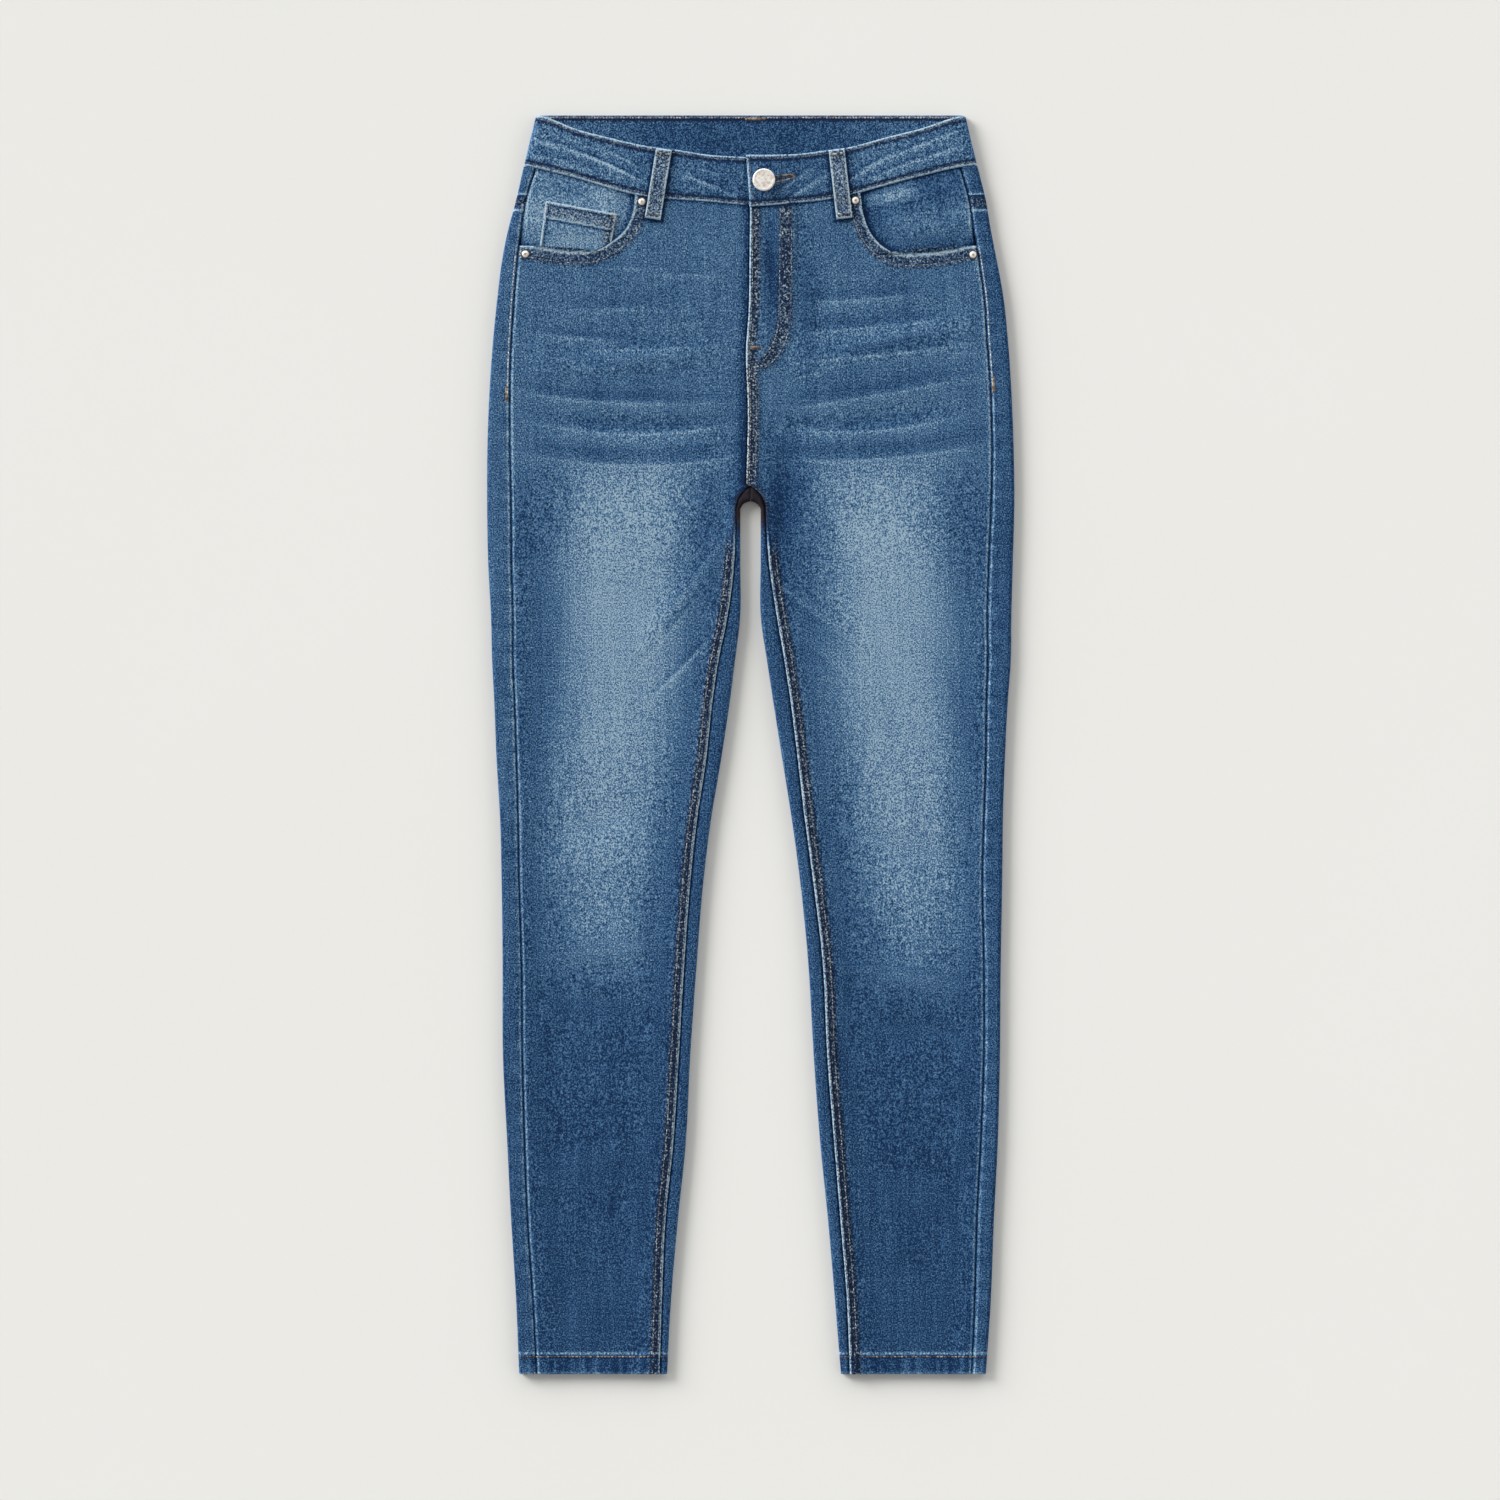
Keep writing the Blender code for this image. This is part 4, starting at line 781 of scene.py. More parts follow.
def spun_thread(name, dark, mid, light):
    """Sewing thread whose colour drifts along the seams, with a fine twist."""
    finish = Finish(name, Roughness=0.8, Specular_IOR_Level=0.1)
    place = finish.node("TexCoord", output="Object")
    drift = finish.noise(place, 330, detail=2.0) + 0.5
    stops = ((0.34, srgb(*dark)), (0.48, srgb(*mid)), (0.64, srgb(*light)))
    finish.drive("Base Color", finish.node("ValToRGB", {0: drift}, stops=stops))
    finish.bump(finish.noise(place, 2400) + 0.5, 0.0001, 0.6)
    return finish


tan_thread = spun_thread("tan_thread", (44, 44, 52), (88, 80, 78), (152, 144, 132))
thread = spun_thread("faded_thread", (48, 54, 66), (104, 106, 108), (186, 190, 190))
brown_thread = spun_thread("brown_thread", (82, 70, 64), (126, 108, 94), (182, 168, 150))
pale_thread = spun_thread("pale_thread", (96, 108, 124), (158, 168, 178), (214, 220, 222))


def back_wash(half, out, y):
    """How worn the back is: the front's plain level, a weak pale leg, a pale seat and back of the knee."""
    middle = along(FADES, "y", half.name + "_out", y)
    leg = along(FADES, "y", "strength", y) * bell(out - middle, 52)
    seat = 0.17 * oval(out - 95, 62, y - 300, 92)
    knee = 0.09 * oval(out - 118, 52, y + 130, 60)
    return along(FADES, "y", "base", y) + 0.32 * leg + seat + knee


def seat_rows(side_y):
    """Where rows of the seat meet the centre back seam: level low down, dipping with the yoke higher up."""
    dip = np.clip((side_y - SEAT_LEVEL_Y) / (YOKE_SIDE_Y - SEAT_LEVEL_Y), 0, 1)
    return side_y - (YOKE_SIDE_Y - YOKE_CENTRE_Y) * dip


YOKE_FELL_Y, YOKE_FELL_ROWS = 436.0, 18
denim_back = denim("denim_back")
backs = []
for half in HALVES:
    leg_y, *leg_edge = leg_edge_path(half)
    seat_y = np.concatenate([np.linspace(leg_y[-1], YOKE_FELL_Y, SEAT_ROWS + 1)[1:],
                             np.linspace(YOKE_FELL_Y, YOKE_SIDE_Y - HALF_GAP, YOKE_FELL_ROWS + 1)[1:]])
    side_y = np.concatenate([leg_y, seat_y])
    back = back_sheet("denim_back_" + half.name, half, denim_back, side_y,
                      np.concatenate([leg_y, seat_rows(seat_y)]), leg_edge)
    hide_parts("back_" + half.name)
    backs.append(back)


HEM_STITCH_Y, HEM_THREAD = -502.0, 1.2
for half in HALVES:
    sew("thread_hem_" + half.name, [leg_ring(half, HEM_STITCH_Y)], tan_thread, width=HEM_THREAD)
seat = np.linspace(CROTCH_Y + CROTCH_RADIUS + 4, YOKE_CENTRE_Y - 1, 90)
rows = [(to_world(RIGHT, np.full(len(seat), out), seat, np.maximum(seat_lift(RIGHT, out, seat), SOLE)), DOWN)
        for out in FELL_STITCHES]
sew("thread_centre_back", rows, thread)
for half, back in zip(HALVES, backs):
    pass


# Back yokes: a shaped piece of the same denim between each back panel and the waistband, felled to the
# panel below and dipping to a point at the centre back. It wraps over the hip to the side seam.
WAIST_GAP = 0.5
YOKE_ROWS = 28
BandEdge = namedtuple("BandEdge", "out top low")
BAND_EDGES = {
    # Front edges of the waistband, out from the centre line on each half
    "left": (
        BandEdge(-30.0, 481.0, 444.0), BandEdge(5.3, 481.8, 442.4), BandEdge(33.2, 483.4, 444.9),
        BandEdge(65.2, 488.3, 447.1), BandEdge(88.2, 491.2, 449.4), BandEdge(111.9, 496.5, 455.1),
        BandEdge(140.6, 503.9, 463.7), BandEdge(175.9, 516.0, 472.7), BandEdge(188.0, 516.2, 475.5),
    ),
    "right": (
        BandEdge(-4.0, 483.2, 440.6), BandEdge(23.4, 483.4, 442.4), BandEdge(39.8, 484.2, 444.0),
        BandEdge(64.4, 487.5, 446.9), BandEdge(77.5, 489.1, 449.4), BandEdge(109.5, 497.3, 458.0),
        BandEdge(137.4, 504.3, 465.4), BandEdge(175.9, 515.6, 474.0), BandEdge(188.0, 516.2, 475.5),
    ),
}


def band_edge(half, column, out):
    """Upper or lower edge of the waistband's front, out from the centre line."""
    return along(BAND_EDGES[half.name], "out", column, out)


for half in HALVES:
    at_fold = band_edge(half, "low", half.outer(BACK_BAND_LOW_Y) - FOLD_RADIUS)

    def band_row(out, share, half=half, at_fold=at_fold):
        """Top row of the yoke on the upper face and round the side, under the waistband's edge."""
        side_level = at_fold * (1 - share) + BACK_BAND_LOW_Y * share
        return band_edge(half, "low", out) - WAIST_GAP, side_level - WAIST_GAP

    share = np.linspace(0, 1, YOKE_ROWS) ** 1.5
    side_y = YOKE_SIDE_Y + HALF_GAP + (BACK_BAND_LOW_Y - SEAM_GAP - YOKE_SIDE_Y - HALF_GAP) * share
    centre_y = YOKE_CENTRE_Y + HALF_GAP + (BACK_BAND_LOW_Y - SEAM_GAP - YOKE_CENTRE_Y - HALF_GAP) * share
    yoke = back_sheet("denim_yoke_" + half.name, half, denim_back, side_y, centre_y, band_row=band_row)
    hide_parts("yoke_" + half.name)
    for number, above in enumerate(FELL_STITCHES):
        out = np.linspace(2.0, half.outer(YOKE_SIDE_Y) - FOLD_RADIUS, 90)
        share = (out - HALF_GAP) / (half.outer(YOKE_SIDE_Y) - FOLD_RADIUS)
        y = YOKE_CENTRE_Y + (YOKE_SIDE_Y - YOKE_CENTRE_Y) * share + above
        row = to_world(half, out, y, np.maximum(seat_lift(half, out, y), SOLE))
        sew("thread_yoke_" + half.name + "_" + str(number + 1), [(row, DOWN)], thread)


# Back pockets: plain five-sided patches, hemmed at the top and topstitched round their edges. They lie
# flat between the seat and the table, so their outer faces look down.
POCKET_TOP, POCKET_FACE = 1.2, 0.25
BACK_POCKET = ((32, 396), (40, 268), (96, 250), (160, 268), (172, 396))
POCKET_ROWS, POCKET_COLUMNS = 40, 40
POCKET_ROUNDING, POCKET_HEM_Y = 0.35, 382.0
POCKET_MIDDLE, POCKET_REACH, POCKET_STITCHES = (101.0, 330.0), 62, (1.9, 7.6)


def pocket_edges(y):
    """Inner and outer edge of the back pocket at a level, between its corners."""
    corners = np.array(BACK_POCKET, float)
    inner = np.interp(y, corners[[2, 1, 0], 1], corners[[2, 1, 0], 0])
    outer = np.interp(y, corners[[2, 3, 4], 1], corners[[2, 3, 4], 0])
    return inner, outer


def rounded_edge(distance, rounding, reach=1.2):
    """Drop of a cloth face towards its edge: a quarter circle of the given depth over the reach."""
    inside = np.clip(distance / reach, 0, 1)
    return rounding * (1 - np.sqrt(1 - (1 - inside) ** 2))


for half in HALVES:
    top_y, low_y = BACK_POCKET[0][1], BACK_POCKET[2][1]
    level = low_y + 0.3 + (top_y - low_y - 0.3) * np.linspace(0, 1, POCKET_ROWS) ** 1.3
    inner, outer = pocket_edges(level)
    across = smoothstep(np.linspace(0, 1, POCKET_COLUMNS))
    out = inner[:, None] + (outer - inner)[:, None] * across
    y = level[:, None] + 0 * out
    distance = np.minimum.reduce([out - inner[:, None], outer[:, None] - out, top_y - y, (y - low_y) * 0.95])
    face_z = POCKET_FACE + rounded_edge(distance, POCKET_ROUNDING)
    worn = 0.8 * bell(distance - 1.0, 0.9)
    pocket = cloth("denim_back_pocket_" + half.name, to_world(half, out, y, face_z),
                   to_world(half, out, y, POCKET_TOP + 0 * out), denim_back,
                   wash=back_wash(half, out, y) + 0.05, wear=worn,
                   band=0.5 * bell(distance - 5.0, 3.0))
    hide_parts("back_pocket_" + half.name)
    corners = np.array(BACK_POCKET, float)
    rows = []
    for inset in POCKET_STITCHES:
        ring = POCKET_MIDDLE + (corners - POCKET_MIDDLE) * (1 - inset / POCKET_REACH)
        for start, end in zip(ring[:-1], ring[1:]):
            line = start + (end - start) * np.linspace(0, 1, 30)[:, None]
            rows.append((to_world(half, line[:, 0], line[:, 1], POCKET_FACE), DOWN))
    for y in (top_y - 2.0, POCKET_HEM_Y):
        inner, outer = pocket_edges(y)
        line = np.linspace(inner + 2, outer - 2, 60)
        rows.append((to_world(half, line, y, POCKET_FACE), DOWN))
    sew("thread_back_pocket_" + half.name, rows, thread)


# Pocket facings: the denim seen in each scooped front pocket, sewn to the pocket bag behind. They sink
# towards the pocket's edge and pass under the front panel.
FACING_SINK, FACING_LEAST_SINK = 1.45, 0.5
FACING_FLAT, FACING_RUN = 4.0, 20.0
FACING_HIDDEN, FACING_LEAD = 8.0, 9.0
FACING_RAYS, FACING_STEPS = 60, 44
SCOOP_STEPS = 160
ScoopPoint = namedtuple("ScoopPoint", "out y fly_y")
SCOOPS = {
    # Edge of each front pocket from the side seam up to the waistband, and where its cloth row meets the fly
    "left": (
        ScoopPoint(187.6, 408.8, 372.7), ScoopPoint(159.1, 404.7, 384.2), ScoopPoint(143.1, 403.4, 393.2),
        ScoopPoint(127.5, 404.7, 401.4), ScoopPoint(115.2, 411.2, 408.8), ScoopPoint(102.9, 421.9, 418.6),
        ScoopPoint(96.4, 436.7, 430.9), ScoopPoint(94.7, 451.0, 442.0),
    ),
    "right": (
        ScoopPoint(184.9, 408.8, 372.7), ScoopPoint(161.1, 403.9, 384.2), ScoopPoint(137.4, 401.4, 393.2),
        ScoopPoint(121.0, 401.8, 401.4), ScoopPoint(107.8, 408.8, 408.8), ScoopPoint(98.0, 420.3, 418.6),
        ScoopPoint(92.3, 435.8, 429.0), ScoopPoint(89.8, 453.0, 440.0),
    ),
}
FACING_TONES = {"left": 0.11, "right": -0.18}
FACING_SEAM_WEAR = (Line(1.2, 1.8, 0.8), Line(-1.1, 0.0, 1.0))
FACING_WHISKERS = (
    # Crease across the right facing: a dark line of painted shade, with a pale line of painted light above it
    Whisker(117.0, 442.0, 24.0, 12.0, 10.0, 0.0, -1.1),
    Whisker(116.0, 452.0, 24.0, 12.0, 12.0, 0.0, 0.7),
)


def in_order(rows, share, *columns):
    """Named columns of a table, read smoothly at shares of the way from its first row to its last."""
    at = np.asarray(share) * (len(rows) - 1)
    return [hermite(np.arange(len(rows)), [getattr(row, key) for row in rows], at) for key in columns]


def scoop_curve(half, share):
    """Points of the pocket's edge, from the side seam at 0 to the waistband at 1, and their fly level."""
    return in_order(SCOOPS[half.name], share, "out", "y", "fly_y")


def scoop_distance(half, out, y):
    """Distance from the edge of the front pocket, over the whole of that edge."""
    curve_out, curve_y, _ = scoop_curve(half, np.linspace(0, 1, SCOOP_STEPS))
    nearest = np.full(np.broadcast(out, y).shape, 1e9)
    for edge_out, edge_y in zip(curve_out, curve_y):
        nearest = np.minimum(nearest, np.hypot(out - edge_out, y - edge_y))
    return nearest


def facing_height(half, out, y):
    """Upper face of the pocket facing: it sinks towards the pocket's edge, to pass under the front panel."""
    sink = 1 - smoothstep((scoop_distance(half, out, y) - FACING_FLAT) / FACING_RUN)
    return top_height(half, out, y) - FACING_LEAST_SINK - (FACING_SINK - FACING_LEAST_SINK) * sink


denim_facing = denim("denim_facing", 0.02, 0.95)
for half in HALVES:
    rim_out, rim_y, _ = scoop_curve(half, np.linspace(1, 0, FACING_RAYS))
    rim = np.column_stack([rim_out, rim_y])
    top_out = half.seam(BACK_BAND_LOW_Y) - SEAM_GAP
    corner = np.array([top_out, band_edge(half, "low", top_out)])
    share = np.linspace(0, 2, FACING_RAYS)
    start = corner - FACING_LEAD * np.column_stack([1 - smoothstep(share), smoothstep(share - 1)])
    spread = rim - start
    end = rim + FACING_HIDDEN * spread / np.hypot(spread[:, 0], spread[:, 1])[:, None]
    grid = start[:, None] + (end - start)[:, None] * np.linspace(0, 1, FACING_STEPS)[:, None]
    out, y = grid[..., 0], grid[..., 1]
    out += (half.seam(y[-1]) - HALF_GAP - out[-1]) * (share[:, None] / 2) ** 4
    y += (band_edge(half, "low", out[0]) + 1.5 - y[0]) * (1 - share[:, None] / 2) ** 4
    y[:] = np.minimum(y, band_edge(half, "low", out) + 1.5)
    out[:] = np.minimum(out, half.seam(y) - HALF_GAP)
    seam_gap = half.seam(y) - out
    z = facing_height(half, out, y) + seam_groove(seam_gap, y)
    from_scoop = scoop_distance(half, out, y)
    # Painted shade: darker close to the pocket's edge, under the front panel
    tone = 0.38 + 0.24 * bell(from_scoop - 26, 16) - 0.5 * bell(from_scoop, 3.5) + FACING_TONES[half.name]
    if half is RIGHT:
        crease_height, crease_light_and_shade = whiskers(out, y, FACING_WHISKERS)
        tone += crease_light_and_shade
        z += crease_height
    worn = lines(seam_gap, FACING_SEAM_WEAR)
    # Painted shadow under the waistband's lower edge
    worn -= 0.9 * bell(band_edge(half, "low", out) - y, 1.6)
    facing = cloth("denim_facing_" + half.name, to_world(half, out, y, z), to_world(half, out, y, z - WALL),
                   denim_facing, wash=tone, wear=worn)
    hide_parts("facing_" + half.name)


# Coin pocket: a small patch on the left facing, hemmed at the top with two rows of stitches. Its sides run
# down to the edge of the front panel.
COIN_WALL, COIN_EDGE_GAP = 0.9, 0.6
COIN_POCKET = ((109.5, 434.9), (167.7, 445.6), (173.0, 407.2), (113.9, 412.6))
COIN_ROWS, COIN_COLUMNS = 50, 70
COIN_WIDTH, COIN_HEM = 58.0, 13.2
COIN_STITCHES = (
    # Ends of the rows of stitches: top, hem, outer side, inner side and its second row
    ((111.2, 433.3), (166.6, 443.6)), ((114.6, 422.9), (168.2, 433.0)), ((166.0, 443.8), (171.2, 408.8)),
    ((111.4, 433.6), (115.6, 413.8)), ((117.6, 434.8), (121.0, 411.4)),
)
COIN_TACKS = ((114.6, 432.0), (165.0, 441.0))


def bilinear(corners, down, across):
    """Grid over a four-cornered patch: corners run top inner, top outer, bottom outer, bottom inner."""
    a, b, c, d = np.array(corners, float)
    down, across = np.asarray(down)[..., None], np.asarray(across)[..., None]
    return (a * (1 - across) + b * across) * (1 - down) + (d * (1 - across) + c * across) * down


down = smoothstep(np.linspace(0, 1, COIN_ROWS))[:, None]
across = smoothstep(np.linspace(0, 1, COIN_COLUMNS))[None, :]
grid = bilinear(COIN_POCKET, down + 0 * across, across + 0 * down)
out, y = grid[..., 0], grid[..., 1]
rim_out, rim_y, _ = scoop_curve(LEFT, np.linspace(1, 0, SCOOP_STEPS))
y += (np.interp(out[-1], rim_out, rim_y) + COIN_EDGE_GAP - y[-1]) * down**2
from_top = 0.983 * (y[0] - y)
sides = np.minimum(across, 1 - across) * COIN_WIDTH + 0 * down
distance = np.minimum(sides, from_top)
under = facing_height(LEFT, out, y) + SEAM_GAP
z = under + COIN_WALL - rounded_edge(distance, 0.5)
z += 0.35 * (1 - smoothstep((from_top - COIN_HEM + 0.8) / 1.5))
worn = 2.0 * bell(distance - 0.7, 0.8) + 1.5 * bell(from_top - COIN_HEM + 0.4, 0.8)
worn -= 1.3 * bell(from_top - COIN_HEM - 1.3, 0.9) + 0.9 * bell(distance - 2.9, 0.9)
band = 0.8 * bell(across * COIN_WIDTH - 3.6, 4, 4) + 0.7 * bell(from_top - 6.5, 6, 4)
pale = 0.16 * oval(out - 140, 18, y - 414, 8)
coin_pocket = cloth("denim_coin_pocket", to_world(LEFT, out, y, z), to_world(LEFT, out, y, under),
                    denim_facing, wash=0.56 + pale, wear=worn, band=np.minimum(band, 0.9))
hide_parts("coin_pocket")
rows = []
for first, last in COIN_STITCHES:
    line = np.array(first) + (np.array(last) - first) * np.linspace(0, 1, 40)[:, None]
    height = facing_height(LEFT, line[:, 0], line[:, 1]) + SEAM_GAP + COIN_WALL + 0.05
    rows.append((to_world(LEFT, line[:, 0], line[:, 1], height), UP))
sew("thread_coin_pocket", rows, thread)
rows = []
for corner_out, corner_y in COIN_TACKS:
    height = float(facing_height(LEFT, corner_out, corner_y)) + SEAM_GAP + COIN_WALL + 0.1
    rows += tack((-corner_out, corner_y, height), 10, 5.0)
sew("thread_coin_tacks", rows, brown_thread)


# Front panels: one piece of stretch denim from the hem to the waistband on each side, scooped out at the
# pocket. The right one laps over the left at the fly. A side seam and a felled inseam join each to its back.
INSEAM_WIDTH, INSEAM_RAISE = 7.5, 0.5
RISE_WIDTH, RISE_RAISE = 9.0, 1.0
FLY_WIDTH, FLY_RAISE = 37.0, 1.5
SEAM_SLOPE = 2.0
INNER_RIDGE = (Line(0.25, 1.2, 0.9), Line(-0.8, 0.0, 0.8))
FRONT_SEAM_WEAR = (Line(1.0, 1.7, 0.8), Line(-0.7, 0.0, 0.8))
LAP_THICKENING = 0.6
FLY_CURVE_LOW_Y, FLY_CURVE_TOP_Y = 308.0, 352.0
POCKET_HEM_WIDTH = 10.5
UNDER_BAND = 2.0
BODY_FRONT_ROWS, SCOOP_ROWS = 140, 70
INNER_DISTANCES = np.array([0.0, 0.3, 0.7, 1.3, 2.1, 3.0, 4.2, 5.4, 6.5, 7.3, 7.9, 8.6, 9.4, 10.4, 12.0])
OUTER_DISTANCES = np.array([12.0, 10.6, 9.4, 8.4, 7.2, 6.0, 4.8, 3.6, 2.7, 2.0, 1.4, 0.9, 0.5, 0.2, 0.0])
MIDDLE_COLUMNS = 50
BodyRow = namedtuple("BodyRow", "side_y fly_y")
BODY_ROWS = (
    # Rows of the front between the crotch and the pocket, at the side seam and at the fly
    BodyRow(205.0, 211.8), BodyRow(231.7, 237.4), BodyRow(257.9, 262.0), BodyRow(284.1, 282.5),
    BodyRow(310.4, 300.5), BodyRow(335.0, 317.0), BodyRow(357.9, 333.3), BodyRow(380.1, 349.7),
    BodyRow(395.7, 362.0), BodyRow(408.8, 372.7),
)


def inner_seam_distance(half, out, y):
    """Distance from the front panel's inner edge: the inseam, the crotch arc, or the fly above it."""
    leg = out - half.inner(y) - half.inseam_depth(y) - SEAM_GAP
    fly = out - half.fly(y)
    rise = smoothstep((y - CROTCH_Y) / (CROTCH_RADIUS + CROTCH_SEAM_DEPTH))
    return np.where(y < CROTCH_Y, leg, leg * (1 - rise) + fly * rise)


def raised_band(half, y):
    """Width and height of the raised cloth along the inner edge of a front panel."""
    in_leg = 1 - smoothstep((y - CROTCH_Y + 14) / 14)
    if half is LEFT:
        return np.full(np.shape(y), INSEAM_WIDTH), INSEAM_RAISE * in_leg
    curve = np.clip((y - FLY_CURVE_LOW_Y) / (FLY_CURVE_TOP_Y - FLY_CURVE_LOW_Y), 0, 1)
    width = RISE_WIDTH + (FLY_WIDTH - RISE_WIDTH) * np.sqrt(1 - (1 - curve) ** 2)
    height = RISE_RAISE + (FLY_RAISE - RISE_RAISE) * smoothstep(curve)
    return INSEAM_WIDTH * in_leg + width * (1 - in_leg), INSEAM_RAISE * in_leg + height * (1 - in_leg)


def front_height(half, out, y):
    """Upper face of the front panel: laid cloth, raised seams, side seam's groove and pocket's hem."""
    inside = inner_seam_distance(half, out, y)
    width, height = raised_band(half, y)
    raised = height * (1 - smoothstep((inside - width) / SEAM_SLOPE))
    side = half.seam(y) - out
    hem = 0.35 * (1 - smoothstep((scoop_distance(half, out, y) - POCKET_HEM_WIDTH) / 1.5))
    return top_height(half, out, y) + raised + lines(inside, INNER_RIDGE) + seam_groove(side, y) + hem


def on_front(half, out, y, lift=0.0):
    """Points on a front panel's face, or lifted off it."""
    return to_world(half, out, y, front_height(half, out, y) + lift)


def front_rows(half):
    """Outer and inner end of each row of a front panel, from the hem to the waistband."""
    side_y, edge, inward, depth = leg_edge_path(half)
    outer = [np.column_stack([half.seam(side_y) - HALF_GAP, side_y])]
    inner = [edge + inward * (depth + SEAM_GAP)[:, None]]
    body_y, fly_y = in_order(BODY_ROWS, np.linspace(0, 1, BODY_FRONT_ROWS + 1)[1:], "side_y", "fly_y")
    outer.append(np.column_stack([half.seam(body_y) - HALF_GAP, body_y]))
    inner.append(np.column_stack([half.fly(fly_y) + HALF_GAP, fly_y]))
    scoop_out, scoop_y, fly_y = scoop_curve(half, np.linspace(0, 1, SCOOP_ROWS + 1)[1:])
    outer.append(np.column_stack([scoop_out, scoop_y]))
    inner.append(np.column_stack([half.fly(fly_y) + HALF_GAP, fly_y]))
    return np.concatenate(outer), np.concatenate(inner)


LOOP_WIDTH = 13.0
FrontLoop = namedtuple("FrontLoop", "low_out low_y top_out top_y")
FRONT_LOOPS = {
    "left": FrontLoop(80.2, 430.7, 70.9, 487.9),
    "right": FrontLoop(77.0, 431.0, 70.5, 487.6),
}


def loop_shadow(half, out, y):
    """How dark the cloth is beside a front belt loop: a narrow bell just outside its edges."""
    loop = FRONT_LOOPS[half.name]
    length_out, length_y = loop.top_out - loop.low_out, loop.top_y - loop.low_y
    size = np.hypot(length_out, length_y)
    run = ((out - loop.low_out) * length_out + (y - loop.low_y) * length_y) / size
    across = np.abs((out - loop.low_out) * length_y - (y - loop.low_y) * length_out) / size
    beyond = np.maximum(across - LOOP_WIDTH / 2, np.maximum(-run, run - size))
    return bell(beyond - 0.9, 1.3)


